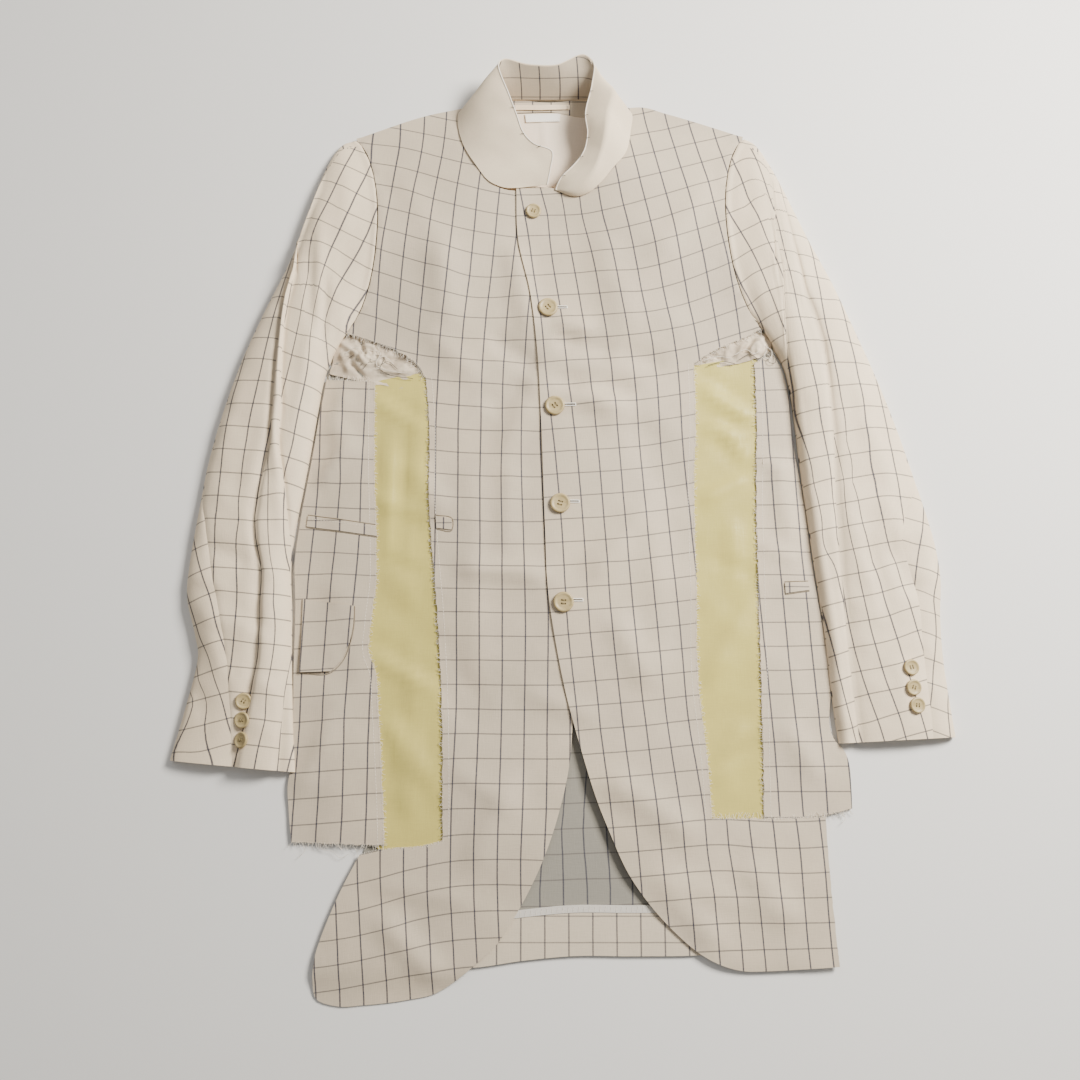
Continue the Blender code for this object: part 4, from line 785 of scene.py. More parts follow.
sleeveChecks = {
    "right": {
        "under": lineChart(
            {-1: [(-346, 485), (-336, 453), (-320, 414), (-308, 376)],
             -2: [(-342, 409), (-329, 376), (-312, 336), (-299, 299)],
             -3: [(-333, 352), (-329, 336), (-321, 299), (-312, 263), (-309, 249)],
             -4: [(-334, 319), (-338, 299), (-350, 271)]},
            {12: [(-343, 466)], 13: [(-343, 440), (-323, 448)], 14: [(-344, 413), (-321, 422)],
             15: [(-334, 392), (-313, 399)], 16: [(-333, 369), (-306, 377)], 17: [(-331, 342), (-303, 351)],
             18: [(-330, 319), (-301, 326)], 19: [(-348, 290), (-328, 294), (-300, 301)],
             20: [(-347, 270), (-327, 270), (-299, 277)], 21: [(-322, 248), (-297, 254)]}),
        "outer": lineChart(
            {-1: [(-342, 495)], 0: [(-305, 653), (-312, 619), (-317, 575), (-319, 535), (-321, 495),
                                     (-320, 453)],
             1: [(-261, 763), (-268, 732), (-274, 703), (-281, 661), (-288, 619), (-294, 575), (-297, 535),
                 (-297, 495), (-298, 453), (-295, 414), (-296, 376), (-300, 334)],
             2: [(-278, 543), (-282, 499), (-280, 477), (-273, 448), (-273, 419), (-272, 386), (-273, 358),
                 (-278, 326), (-282, 300), (-288, 274), (-293, 250)]},
            {0: [(-259, 751), (-264, 752)], 1: [(-263, 730), (-274, 731)], 2: [(-265, 706), (-284, 708)],
             3: [(-265, 683), (-293, 687)], 4: [(-269, 660), (-301, 664)], 5: [(-270, 637), (-308, 641)],
             6: [(-271, 613), (-315, 616)], 7: [(-271, 588), (-323, 593)], 8: [(-278, 565), (-327, 569)],
             9: [(-283, 541), (-331, 545)], 10: [(-282, 517), (-333, 521)], 11: [(-282, 494), (-327, 497)],
             12: [(-281, 469), (-325, 473)], 13: [(-278, 445), (-322, 448)], 14: [(-277, 421), (-307, 424)],
             15: [(-276, 398), (-305, 400)], 16: [(-275, 373), (-304, 377)], 17: [(-274, 349), (-299, 351)],
             18: [(-272, 325), (-296, 327)], 19: [(-271, 301), (-294, 302)], 20: [(-281, 276), (-291, 277)],
             21: [(-282, 254), (-292, 254)]}),
        "middle": lineChart(
            {2: [(-282, 499), (-280, 477), (-273, 448), (-273, 419), (-272, 386), (-273, 358), (-278, 326),
                 (-282, 300), (-288, 274), (-293, 250)],
             3: [(-263, 726), (-267, 664), (-268, 637), (-269, 605), (-271, 573), (-269, 531), (-268, 495),
                 (-263, 453), (-259, 414), (-258, 354), (-262, 299), (-269, 263)],
             4: [(-239, 413), (-241, 369), (-246, 325), (-248, 292), (-250, 250)]},
            {2: [(-261, 719)], 3: [(-262, 696)], 4: [(-265, 672)], 5: [(-266, 647)], 6: [(-266, 621)],
             7: [(-266, 596)], 8: [(-264, 571)], 9: [(-264, 546)], 10: [(-282, 517), (-261, 521)],
             11: [(-282, 494), (-259, 495)], 12: [(-281, 469), (-256, 470)], 13: [(-278, 445), (-255, 446)],
             14: [(-277, 421), (-248, 420)], 15: [(-276, 398), (-247, 396)], 16: [(-275, 373), (-246, 371)],
             17: [(-274, 349), (-245, 347)], 18: [(-272, 325), (-244, 322)], 19: [(-271, 301), (-248, 298)],
             20: [(-281, 277), (-247, 273)], 21: [(-282, 254), (-251, 252)]}),
        "inner": lineChart(
            {4: [(-199, 900), (-222, 836), (-238, 792), (-239, 749), (-245, 703), (-252, 661), (-261, 619)],
             5: [(-196, 836), (-212, 792), (-225, 749), (-232, 703), (-234, 661), (-240, 619), (-247, 575),
                 (-256, 535)],
             6: [(-174, 819), (-181, 796), (-204, 749), (-220, 703), (-219, 619), (-228, 575), (-234, 535),
                 (-241, 495), (-246, 462)],
             7: [(-175, 745), (-185, 728), (-199, 699)]},
            {1: [(-221, 885), (-185, 870)], 2: [(-227, 862), (-204, 852), (-179, 839)],
             3: [(-232, 840), (-203, 823), (-178, 813)], 4: [(-237, 817), (-202, 800), (-177, 788)],
             5: [(-246, 792), (-217, 784), (-186, 766)], 6: [(-254, 766), (-232, 766), (-201, 747)],
             7: [(-257, 742), (-227, 739), (-213, 725), (-193, 718)],
             8: [(-262, 719), (-245, 713), (-205, 694)], 9: [(-263, 696), (-247, 687), (-220, 682)],
             10: [(-266, 672), (-252, 665), (-219, 654)],
             11: [(-257, 639), (-236, 633), (-220, 628)], 12: [(-260, 615), (-241, 607), (-223, 603)],
             13: [(-260, 588), (-244, 582), (-228, 578)], 14: [(-259, 561), (-229, 553)],
             15: [(-255, 534), (-235, 528)], 16: [(-253, 507), (-241, 504)], 17: [(-248, 481), (-238, 478)],
             18: [(-245, 456), (-239, 455)], 19: [(-241, 431), (-238, 430)], 21: [(-233, 382), (-240, 382)],
             23: [(-231, 334), (-240, 334)], 26: [(-230, 263), (-240, 263)]}),
    },
    "left": {
        "under": lineChart(
            {3: [(380, 495), (370, 453), (366, 414)],
             4: [(391, 440), (385, 417), (386, 401), (386, 387), (381, 354), (377, 326), (375, 314)],
             5: [(393, 314), (393, 283)]},
            {18: [(371, 495), (383, 492)], 19: [(369, 471), (387, 468)], 20: [(368, 449), (391, 442)],
             21: [(368, 426), (391, 417)], 22: [(371, 406), (390, 401)], 23: [(372, 385), (389, 379)],
             24: [(371, 360), (390, 354)], 25: [(373, 336), (387, 332)], 26: [(374, 313), (388, 308)],
             27: [(376, 290), (392, 284)]}),
        "outer": lineChart(
            {-1: [(296, 575), (302, 535), (303, 495), (310, 453), (316, 414), (323, 376), (333, 336),
                  (345, 299), (350, 279)],
             0: [(283, 779), (291, 703), (298, 661), (303, 619), (306, 575), (310, 535), (317, 495),
                 (326, 453), (336, 414), (346, 376), (355, 342)],
             1: [(313, 709), (320, 661), (326, 619), (329, 575), (333, 535), (338, 495), (349, 453),
                 (359, 414), (369, 376)],
             2: [(345, 626), (351, 575), (356, 535), (359, 495), (362, 459)]},
            {5: [(272, 797)], 6: [(280, 774), (293, 771)], 7: [(295, 750)], 8: [(296, 726), (305, 727)],
             9: [(308, 705), (323, 703)], 10: [(307, 681), (325, 679)], 11: [(305, 658), (333, 658)],
             12: [(304, 633), (341, 636)], 13: [(303, 609), (349, 613)],
             14: [(302, 584), (332, 589), (356, 590)], 15: [(302, 560), (333, 565), (363, 567)],
             16: [(314, 538), (344, 542), (371, 541)],
             17: [(313, 514), (343, 519), (373, 518)], 18: [(311, 490), (341, 495), (371, 495)],
             19: [(310, 466), (340, 472)], 20: [(324, 444), (354, 453)], 21: [(308, 418), (353, 429)],
             22: [(306, 394), (336, 399), (350, 404)], 23: [(307, 370), (335, 375), (365, 385)],
             24: [(318, 348), (347, 354)], 25: [(317, 325), (347, 331), (367, 337)],
             26: [(315, 298), (344, 307), (368, 313)], 27: [(338, 281), (367, 289)]}),
        "middle": lineChart(
            {-2: [(259, 535), (266, 453), (275, 414), (283, 376), (290, 336), (298, 299), (304, 274)],
             -1: [(259, 604), (265, 575), (272, 535), (279, 495), (288, 453), (297, 414), (303, 376),
                  (309, 336), (315, 299), (318, 279)],
             0: [(230, 887), (240, 841), (246, 819), (250, 796), (253, 775), (260, 740), (265, 707),
                 (270, 680), (275, 653), (280, 624), (285, 577), (290, 538), (291, 512), (294, 472)]},
            {2: [(243, 871)], 3: [(248, 847)], 4: [(255, 825)], 5: [(266, 797)], 6: [(265, 777)],
             7: [(264, 755), (275, 751)], 8: [(265, 730), (280, 726)], 9: [(254, 705), (277, 706)],
             10: [(261, 680), (281, 682)], 11: [(259, 655), (290, 656)], 12: [(258, 629), (289, 635)],
             13: [(262, 605), (288, 610)], 14: [(266, 582), (286, 585)], 15: [(272, 558), (287, 561)],
             16: [(271, 532), (289, 537)], 17: [(283, 511), (293, 512)], 18: [(282, 486)],
             19: [(280, 460), (295, 464)], 20: [(279, 435), (294, 439)], 21: [(279, 410), (294, 414)],
             22: [(276, 384), (291, 389)], 23: [(277, 359), (292, 364)], 24: [(280, 335), (303, 343)],
             25: [(281, 311), (302, 318)], 26: [(286, 290), (300, 293), (307, 296)]}),
        "inner": lineChart(
            {-1: [(200, 766), (208, 745), (221, 719), (229, 701), (247, 653)],
             0: [(197, 827), (210, 800), (220, 779), (231, 751), (240, 724), (247, 701), (251, 691)],
             1: [(206, 885), (214, 860), (221, 834), (229, 813), (236, 789), (245, 766), (249, 752)],
             2: [(230, 887), (240, 841), (246, 819)]},
            {2: [(206, 881), (222, 892), (243, 871)], 3: [(205, 854), (221, 862), (248, 847)],
             4: [(204, 827), (220, 833), (242, 843)], 5: [(203, 799), (219, 806), (235, 813)],
             6: [(202, 771), (218, 780), (234, 786)], 7: [(201, 741), (217, 753), (233, 760), (247, 765)],
             8: [(216, 723), (232, 734), (248, 739)], 9: [(221, 701), (231, 707), (249, 714)],
             10: [(230, 679), (251, 689)], 11: [(248, 662)], 12: [(254, 637)]}),
    },
}
# Creases of the sleeves: start x, y, end x, y, half width, height
sleeveFolds = {
    "right": [(-330, 470, -284, 452, 9, -3.0), (-345, 440, -300, 425, 8, 2.0), (-318, 395, -262, 380, 9, 1.5),
              (-232, 700, -250, 560, 7, 1.5), (-214, 760, -206, 700, 7, 1.2), (-300, 640, -322, 560, 9, 1.4),
              (-205, 700, -228, 650, 5, -1.5), (-330, 330, -316, 280, 6, -1.5),
              (-285, 600, -306, 520, 8, -1.0),
              (-265, 440, -268, 330, 8, 1.5), (-196, 880, -204, 800, 8, 1.0), (-214, 750, -192, 790, 9, -2.6),
              (-238, 792, -234, 695, 7, -2.4), (-220, 752, -222, 668, 4, -2.0),
              (-228, 820, -226, 700, 6, 1.6),
              (-332, 420, -300, 330, 9, 2.0), (-270, 560, -262, 470, 7, -1.4)],
    "left": [(338, 520, 362, 468, 9, 3.0), (345, 470, 366, 420, 8, -2.5), (316, 700, 330, 560, 9, 1.6),
             (302, 520, 330, 400, 8, 1.6), (225, 840, 240, 760, 8, 1.4), (268, 600, 280, 480, 7, 1.2),
             (214, 740, 236, 690, 6, -1.2), (345, 360, 352, 300, 8, 1.4), (300, 420, 312, 320, 6, -1.0),
             (212, 868, 226, 824, 8, -2.4), (262, 740, 290, 640, 8, -2.0), (330, 600, 352, 520, 10, 2.0),
             (376, 500, 384, 430, 8, 2.0), (320, 480, 340, 400, 8, -1.8), (290, 800, 318, 700, 10, 1.8)],
}
sleeveForm = {"sections": 112, "edge": 3.6, "fullness": 0.8, "underPoints": 14, "foreSeam": 3,
              "bandPoints": (8, 16, 10, 18), "least": 0.004, "seamDip": 1.0, "seamHalf": 2.5,
              "seamFromRow": 7.5, "crowd": 1.6, "lowest": 0.8, "headRows": 1.6}
foldForm = {"ridge": 4.2, "outerDip": 3.2, "innerDip": 1.6, "crease": 3.4, "roll": 2.6, "rollDip": 2.8}


def lineAcross(row, bow, line, side):  # where a long line crosses a section
    across = np.linspace(0.0, 1.0, 161)
    x, y = sleeveSpot(row, across, bow)
    spots = np.array(sorted(line, key=lambda spot: spot[1]))
    ahead = (x - np.interp(y, spots[:, 1], spots[:, 0])) * (1.0 if side == "left" else -1.0)
    if ahead[0] <= 0.0:
        return 0.0
    for number in range(len(across) - 1):
        if ahead[number + 1] <= 0.0:
            part = ahead[number] / (ahead[number] - ahead[number + 1])
            return across[number] + part * (across[number + 1] - across[number])
    return 1.0


def foldShape(side, distances, width, strength):  # height beside the two long folds
    first, second = distances["first"], distances["second"]
    if side == "right":  # a rounded ridge between the folds, with a valley outside it
        between = np.clip(first / np.maximum(width, 5.0), 0.0, 1.0)
        rise = foldForm["ridge"] * np.sin(between * math.pi) ** 0.6 * (first > 0) * (second < 0)
        rise = rise - foldForm["outerDip"] * np.exp(-(np.minimum(first, 0.0) / 9.0) ** 2) * (first <= 0)
        rise = rise - foldForm["innerDip"] * np.exp(-(np.maximum(second, 0.0) / 8.0) ** 2) * (second >= 0)
    else:  # the middle band rolls over the inner one and dips to the outer one
        rise = -foldForm["crease"] * np.exp(-np.abs(first) / 6.0)
        rise = rise + foldForm["roll"] * np.exp(-((second + 6.0) / 6.0) ** 2) * (second < 0)
        rise = rise - foldForm["rollDip"] * np.exp(-(np.maximum(second, 0.0) / 8.0)) * (second >= 0)
    return rise * strength


def sleeveSection(side, place):
    rows = sleeveRows[side]
    whole = min(int(place), len(rows) - 2)
    before, after = np.array(rows[whole], dtype=float), np.array(rows[whole + 1], dtype=float)
    early = np.array(rows[max(whole - 1, 0)], dtype=float)
    late = np.array(rows[min(whole + 2, len(rows) - 1)], dtype=float)
    part = place - whole
    row = 0.5 * (2 * before + (after - early) * part + (2 * early - 5 * before + 4 * after - late) * part ** 2
                 + (3 * before - early - 3 * after + late) * part ** 3)
    bow = armhole["bow"] if side == "right" else -armhole["bow"]
    return row, bow * float(easeIn(1.0 - place / armhole["rows"]))


def skinOf(rows):  # four-sided faces between rows of points
    skin = bmesh.new()
    strip = [[skin.verts.new(spot) for spot in row] for row in rows]
    for before, after in zip(strip, strip[1:]):
        for step in range(len(before) - 1):
            skin.faces.new((before[step], before[step + 1], after[step + 1], after[step]))
    skin.verts.index_update()
    skin.faces.index_update()
    return skin


def sleeveRing(side, place):  # one section: its points over the top and under it
    form = sleeveForm
    row, bow = sleeveSection(side, place)
    width = math.hypot(row[2] - row[0], row[3] - row[1])
    seam, first, second = [lineAcross(row, bow, sleeveLines[side][name], side)
                           for name in ("seam", "first", "second")]
    seamShows = place > form["seamFromRow"]
    seam = min(max(seam if seamShows else 0.0, 0.02), 0.9)
    first = min(max(first, seam + form["least"]), 0.99)
    second = min(max(second, first + form["least"]), 0.995)
    stops = [0.0, seam, first, second, 1.0]
    across = [0.0]
    for number, count in enumerate(form["bandPoints"]):  # points crowd towards the sleeve's two edges
        parts = np.linspace(0.0, 1.0, count + 1)[1:]
        if number == 0:
            parts = parts ** form["crowd"]
        if number == 3:
            parts = 1.0 - (1.0 - parts) ** form["crowd"]
        across += list(stops[number] + (stops[number + 1] - stops[number]) * parts)
    across = np.array(across)
    x, y = sleeveSpot(row, across, bow)
    arch = 2.0 * np.sqrt(np.clip(across * (1.0 - across), 0.0, 0.25))
    soften = easeIn(arch * 1.6)
    z = form["edge"] + (row[4] - form["edge"]) * arch ** form["fullness"]
    distances = {"first": (across - first) * width, "second": (across - second) * width}
    strength = float(easeIn((place - 2.0) / 2.5))
    z = z + foldShape(side, distances, (second - first) * width, strength) * soften
    for fold in sleeveFolds[side]:
        z = z + ridge(x, y, *fold) * soften
    z = z + (ripple(x, y, 16.0, 0.5) + ripple(x, y, 9.0, 0.2, 1.0)) * soften
    z = z - form["seamDip"] * np.exp(-np.abs(across - seam) * width / form["seamHalf"]) * seamShows
    toBody = float(easeIn(1.0 - place / form["headRows"]))
    z = z * (1.0 - toBody) + (rightFrontUnder(x, y) + cloth["panelTop"]) * toBody
    turn = np.linspace(1.0, 0.0, form["underPoints"] + 2)[1:-1]
    underX, underY = sleeveSpot(row, 0.5 - 0.5 * np.cos(turn * math.pi), bow)
    underZ = np.where(np.abs(turn - 0.5) > 0.44, form["edge"] * 0.25, 0.0)
    return np.column_stack([x, y, np.maximum(z, form["lowest"])]), np.column_stack([underX, underY, underZ])


def makeSleeve(side):
    form = sleeveForm
    counts, fore = form["bandPoints"], form["foreSeam"]
    lastRow = len(sleeveRows[side]) - 1
    rings = [sleeveRing(side, lastRow * section / form["sections"])
             for section in range(form["sections"] + 1)]
    halves = {"Top": [np.vstack([ring[counts[0]:], floor[:fore + 1]]) for ring, floor in rings],
              "Under": [np.vstack([floor[fore:], ring[:counts[0] + 1]]) for ring, floor in rings]}
    bandOf = {"Top": lambda step: int(step >= counts[1]) + int(step >= counts[1] + counts[2]),
              "Under": lambda step: 3}
    made = []
    for kind, rows in halves.items():
        skin = skinOf(rows)
        spots = np.array([vertex.co for vertex in skin.verts])
        readings = [sleeveChecks[side][band](spots[:, 0], spots[:, 1])
                    for band in ("outer", "middle", "inner", "under")]
        writeChart(skin, readings, lambda face: bandOf[kind](face.index % (len(rows[0]) - 1)))
        settle(skin, spots)
        skin.normal_update()
        middle = sum((vertex.co for vertex in skin.verts), Vector()) / len(skin.verts)
        if sum(face.normal.z for face in skin.faces if face.calc_center_median().z > middle.z) < 0.0:
            bmesh.ops.reverse_faces(skin, faces=skin.faces[:])
        name = side + kind + "Sleeve"
        piece = pieceFrom(name, meshFrom(name, skin), sleeveClothPaintedLight, cloth["wall"])
        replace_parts(piece, f"{side}_{kind.lower()}_sleeve")
        made.append(piece)
        print(name, "made")
    return made


sleeves = {side: makeSleeve(side) for side in ("right", "left")}
sleeveCut = {"Top": (0.17, 0.66, 0.68), "Under": (0.17, 0.64, 0.66)}   # width, length, share that is cloth

# Collar: seam x, y, crest x, y, z, free edge x, y, z, round the neck
collarRows = [
    (-22, 854, -7, 856, 12.5, 7.5, 857, 13.5), (-37, 854, -13, 864, 16, 11, 873, 20),
    (-52, 859, -20, 874, 20, 13, 888, 24), (-67, 877, -37, 887, 22, -6, 896, 27),
    (-81, 902, -50, 907, 24, -18, 909, 29), (-88, 930, -58, 931, 25, -25, 929, 30),
    (-86, 948, -64, 954, 26, -34, 953, 33), (-64, 960, -60, 970, 24, -44, 981, 36),
    (-38, 961.5, -38, 974, 20, -38, 990, 35), (-10, 962.5, -10, 973, 18, -11, 985, 33),
    (20, 962.5, 20, 973, 18, 18, 985, 33), (52, 961.5, 50, 974, 21, 46, 995, 35),
    (78, 958, 70, 967, 28, 57, 984, 36), (97, 947, 78, 953, 36, 55, 963, 31),
    (97, 922, 72, 928, 38, 48, 932, 28), (90, 891, 68, 900, 37, 50, 907, 26),
    (78, 875, 63, 881, 33, 46, 889, 24), (63, 857, 55, 863, 28, 34, 874, 21),
    (50, 847, 42, 852, 22, 22, 863, 17), (35, 844, 28, 848, 16, 17, 854, 12),
    (22, 849, 20, 850.5, 12, 17, 852, 12),
]
collarForm = {"backY": 956.0, "leftFromX": -30.0, "points": 15, "step": 6.0, "creaseFromX": 40.0,
              "creaseOver": 25.0, "creaseShare": 0.85, "backFoot": 1.9, "frontFoot": 3.1}
insideForm = {"fromX": -52.0, "toX": 72.0, "behindY": 955.0, "toward": (5.0, 930.0), "inset": 1.7,
              "rise": 0.5, "columnMm": 21.0, "rowMm": 20.0, "rowShift": 0.15}


def collarFoot(x, y):
    if y > collarForm["backY"]:
        return collarForm["backFoot"]
    under = leftFrontUnder if x > collarForm["leftFromX"] else rightFrontUnder
    return float(under(np.array(x), np.array(y))) + collarForm["frontFoot"]


def collarRibs():
    ribs = []
    table = [(*row[:2], collarFoot(*row[:2]), *row[2:]) for row in collarRows]
    parts = np.linspace(0.0, 1.0, collarForm["points"])[:, None]
    for row in smoothPath(table, collarForm["step"]):
        seam, crest, edge = row[:3], row[3:6], row[6:9]
        bend = crest * 2.0 - (seam + edge) * 0.5
        rolled = seam * (1 - parts) ** 2 + bend * 2 * parts * (1 - parts) + edge * parts ** 2
        pressed = np.where(parts < 0.5, seam + (crest - seam) * 2 * parts,
                           crest + (edge - crest) * (2 * parts - 1))
        past = (seam[0] - collarForm["creaseFromX"]) / collarForm["creaseOver"]
        sharp = collarForm["creaseShare"] * float(easeIn(past))  # the crease is pressed on one side only
        ribs.append(rolled * (1 - sharp) + pressed * sharp)
    return np.array(ribs)


def ribbon(name, ribs, finish, wall, chart=None):
    skin = skinOf(ribs)
    if chart:
        writeChart(skin, [chart(ribs)])
    settle(skin, ribs.reshape(-1, 3))
    return pieceFrom(name, meshFrom(name, skin), finish, wall)


def alongRibs(ribs):  # lengths round the neck and up the stand, as columns and rows of the check
    around = np.concatenate([[0.0], np.cumsum(np.linalg.norm(np.diff(ribs[:, -1], axis=0), axis=1))])
    up = np.concatenate([np.zeros((len(ribs), 1)),
                         np.cumsum(np.linalg.norm(np.diff(ribs, axis=1), axis=2), axis=1)], axis=1)
    columns = np.repeat(around[:, None], ribs.shape[1], axis=1) / insideForm["columnMm"]
    return columns.reshape(-1), (up / insideForm["rowMm"] - insideForm["rowShift"]).reshape(-1)


ribs = collarRibs()
wave = ripple(ribs[:, :, 0], ribs[:, :, 1], 12.0, 0.5)
ribs[:, :, 2] += wave * np.linspace(0.0, 1.0, ribs.shape[1])[None, :]
collar = ribbon("underCollar", ribs, underCollar, 1.4)
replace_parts(collar, "collar")
soft.append((collar, (0.60, 0.055), "folded", ["rightFront", "leftFront", "backPanel"], 0.6 * 0.045))
seamX, seamY = ribs[:, 0, 0], ribs[:, 0, 1]
behind = (seamY > insideForm["behindY"]) & (seamX > insideForm["fromX"]) & (seamX < insideForm["toX"])
backRibs = ribs[behind][:, 1:]
inward = np.array(insideForm["toward"]) - backRibs[:, :, :2]
inward = inward / np.linalg.norm(inward, axis=2, keepdims=True) * insideForm["inset"]
raised = np.full(inward.shape[:2] + (1,), insideForm["rise"])
collarLining = ribbon("collarInside", backRibs + np.concatenate([inward, raised], axis=2), bodyCloth,
                      0.8, alongRibs)
soft.append((collarLining, (0.13, 0.036), "folded", ["underCollar"], None))
print("collar made")


# Threads: stitches, frays, buttonholes, and dark lines of painted shade and shadow are all runs of fine round
# thread
def threadPiece(name, runs, radius, finish, owner):
    curve = bpy.data.curves.new(name, "CURVE")
    curve.dimensions = "3D"
    curve.bevel_depth = radius * layout["millimetre"]
    curve.bevel_resolution = 0
    curve.use_fill_caps = True
    for run in runs:
        line = curve.splines.new("POLY")
        line.points.add(len(run) - 1)
        for point, spot in zip(line.points, toMetres(run)):
            point.co = (*spot, 1.0)
    source = putIn(name + "Line", curve)
    graph = bpy.context.evaluated_depsgraph_get()
    mesh = bpy.data.meshes.new_from_object(source.evaluated_get(graph))
    bpy.data.objects.remove(source)
    mesh.name = name
    trims.setdefault(owner, []).append(pieceFrom(name, mesh, finish))


def walk(path, step):  # places and directions at even steps along a path
    gaps = np.linalg.norm(np.diff(path, axis=0), axis=1)
    lengths = np.concatenate([[0.0], np.cumsum(gaps)])
    for goal in np.arange(step * 0.5, lengths[-1], step):
        number = min(int(np.searchsorted(lengths, goal, side="right")) - 1, len(gaps) - 1)
        part = (goal - lengths[number]) / gaps[number]
        direction = (path[number + 1] - path[number]) / gaps[number]
        yield path[number] + (path[number + 1] - path[number]) * part, direction


def lay(top, spots, lift):
    spots = np.array(spots)
    return np.column_stack([spots, top(spots[:, 0], spots[:, 1]) + lift])


def threadRun(top, points, lift, step=2.0):  # one smooth thread laid over a height
    return lay(top, smoothPath(points, step), lift)


stitch = {"lift": 0.1, "sink": 0.25}
fray = {"start": 0.8, "parts": (0.0, 0.35, 0.7, 1.0), "sag": (0.0, -0.405, -0.72, -0.9), "rise": 0.6}


def stitchRuns(points, top, inset, pitch=3.2, length=2.3):
    runs = []
    for spot, direction in walk(smoothPath(points, 4.0), pitch):
        middle = spot + np.array([-direction[1], direction[0]]) * inset
        half = direction * length / 2
        flat = lay(top, [middle - half, middle, middle + half], stitch["lift"])
        flat[[0, 2], 2] -= stitch["sink"]
        runs.append(flat)
    return runs


def frayRuns(points, top, outward, length=4.5, pitch=1.1):
    runs = []
    for spot, direction in walk(smoothPath(points, 4.0), pitch):
        away = np.array([-direction[1], direction[0]]) * outward
        reach = length * chance.uniform(0.25, 1.0) ** 1.5
        heading = away + direction * chance.uniform(-0.7, 0.7)
        bend = direction * chance.uniform(-0.5, 0.5) * reach
        start = spot - away * fray["start"] + direction * chance.uniform(-0.5, 0.5)
        spots = [start + heading * reach * part + bend * part * part for part in fray["parts"]]
        flat = lay(top, spots, 0.0)
        flat[:, 2] += np.array(fray["sag"]) + chance.uniform(0.0, fray["rise"])
        runs.append(flat)
    return runs


rightTop, leftTop, sideTop = topOf(rightFrontUnder), topOf(leftFrontUnder), topOf(sideUnder)
rawEdges = [  # piece, edge, height, side that frays, distance of its stitching
    ("rightFront", cut["frontRawRight"], rightTop, -1, 6.0),
    ("leftFront", cut["frontRawLeft"], leftTop, 1, -6.0),
    ("rightSidePanel", cut["sideRawRight"], sideTop, -1, 6.0),
    ("leftSidePanel", cut["sideRawLeft"], sideTop, 1, -6.0),
]
bottomEdges = [
    ("rightFront", cut["skirtTopRight"], rightTop, 1), ("leftFront", cut["skirtTopLeft"], leftTop, 1),
    ("rightSidePanel", [(-235, 186), (-190, 185), (-147, 183.5)], sideTop, -1),
    ("leftSidePanel", [(213, 209), (255, 210), (296, 216)], sideTop, -1),
    ("rightFront", cut["underarmRight"], rightTop, -1), ("leftFront", cut["underarmLeft"], leftTop, 1),
    ("rightSidePanel", [(-169, 642), (-219, 645)], sideTop, -1),
    ("leftSidePanel", [(220.5, 662.5), (232, 668), (240, 672)], sideTop, 1),
]
for number, (owner, edge, top, outward, inset) in enumerate(rawEdges):
    threadPiece(f"edgeFrays{number}", frayRuns(edge, top, outward), 0.17, creamThread, owner)
    threadPiece(f"edgeStitches{number}", stitchRuns(edge, top, inset), 0.28, creamThread, owner)
for number, (owner, edge, top, outward) in enumerate(bottomEdges):
    threadPiece(f"cutFrays{number}", frayRuns(edge, top, outward, 7.0, 1.0), 0.17, creamThread, owner)

longThreads = {
    "rightSidePanel": [[(-210, 186), (-206, 180), (-196, 178), (-188, 172), (-180, 176)],
                       [(-226, 187), (-222, 179), (-228, 172)], [(-178, 184), (-172, 176), (-174, 168)]],
    "leftSidePanel": [[(240, 211), (244, 204), (252, 205), (256, 199)], [(284, 215), (290, 208), (286, 203)]],
}
for owner, runs in longThreads.items():
    loose = [threadRun(lambda x, y: 2.6 + 0.0 * x, run, 0.5) for run in runs]
    threadPiece(owner + "LongThreads", loose, 0.2, creamThread, owner)
underarmThreads = {
    "right": [[(-186, 660), (-178, 668), (-170, 664), (-160, 668), (-150, 660)],
              [(-200, 672), (-190, 678), (-182, 672), (-188, 664)], [(-168, 656), (-150, 652), (-134, 650)],
              [(-176, 676), (-164, 672), (-168, 660), (-158, 654)]],
    "left": [[(232, 680), (238, 674), (236, 666), (230, 668), (233, 675)],
             [(200, 670), (212, 676), (220, 671), (226, 675)], [(168, 664), (182, 668), (196, 666)]],
}
for side, runs in underarmThreads.items():
    owner = side + "UnderarmLining"
    pale = [threadRun(lambda x, y: 7.5 + ripple(x, y, 9.0, 1.0), run, 0.5) for run in runs]
    threadPiece(side + "UnderarmThreads", pale, 0.35, creamThread, owner)
    # Dark copies of the loose threads, shifted and laid lower, are painted shade: dark slits between the
    # crumples
    moved = [[(x + 4, y - 5) for x, y in run] for run in runs]
    paintedShadeSlits = [threadRun(lambda x, y: 6.5 + ripple(x, y, 7.0, 1.0), run, 0.5) for run in moved]
    threadPiece(side + "UnderarmShadeSlits", paintedShadeSlits, 0.3, darkThreadAndShade, owner)

# The collar's free edge is rolled, with ends of the dark basting thread left in it
rim = ribs[:, -1]
rimTicks = {"places": (0.10, 0.16, 0.24, 0.70, 0.76, 0.82, 0.88, 0.94), "reach": 3.2}
threadPiece("collarRim", [rim], 0.75, loopThread, "underCollar")
ticks = []
for part in rimTicks["places"]:
    number = int(part * (len(ribs) - 1))
    inside = ribs[number, -2] - rim[number]
    inside = inside / np.linalg.norm(inside) * rimTicks["reach"]
    ticks.append(np.array([rim[number] + (0, 0, 1.0), rim[number] + inside + (0, 0, 1.2)]))
threadPiece("collarTicks", ticks, 0.3, darkThreadAndShade, "underCollar")
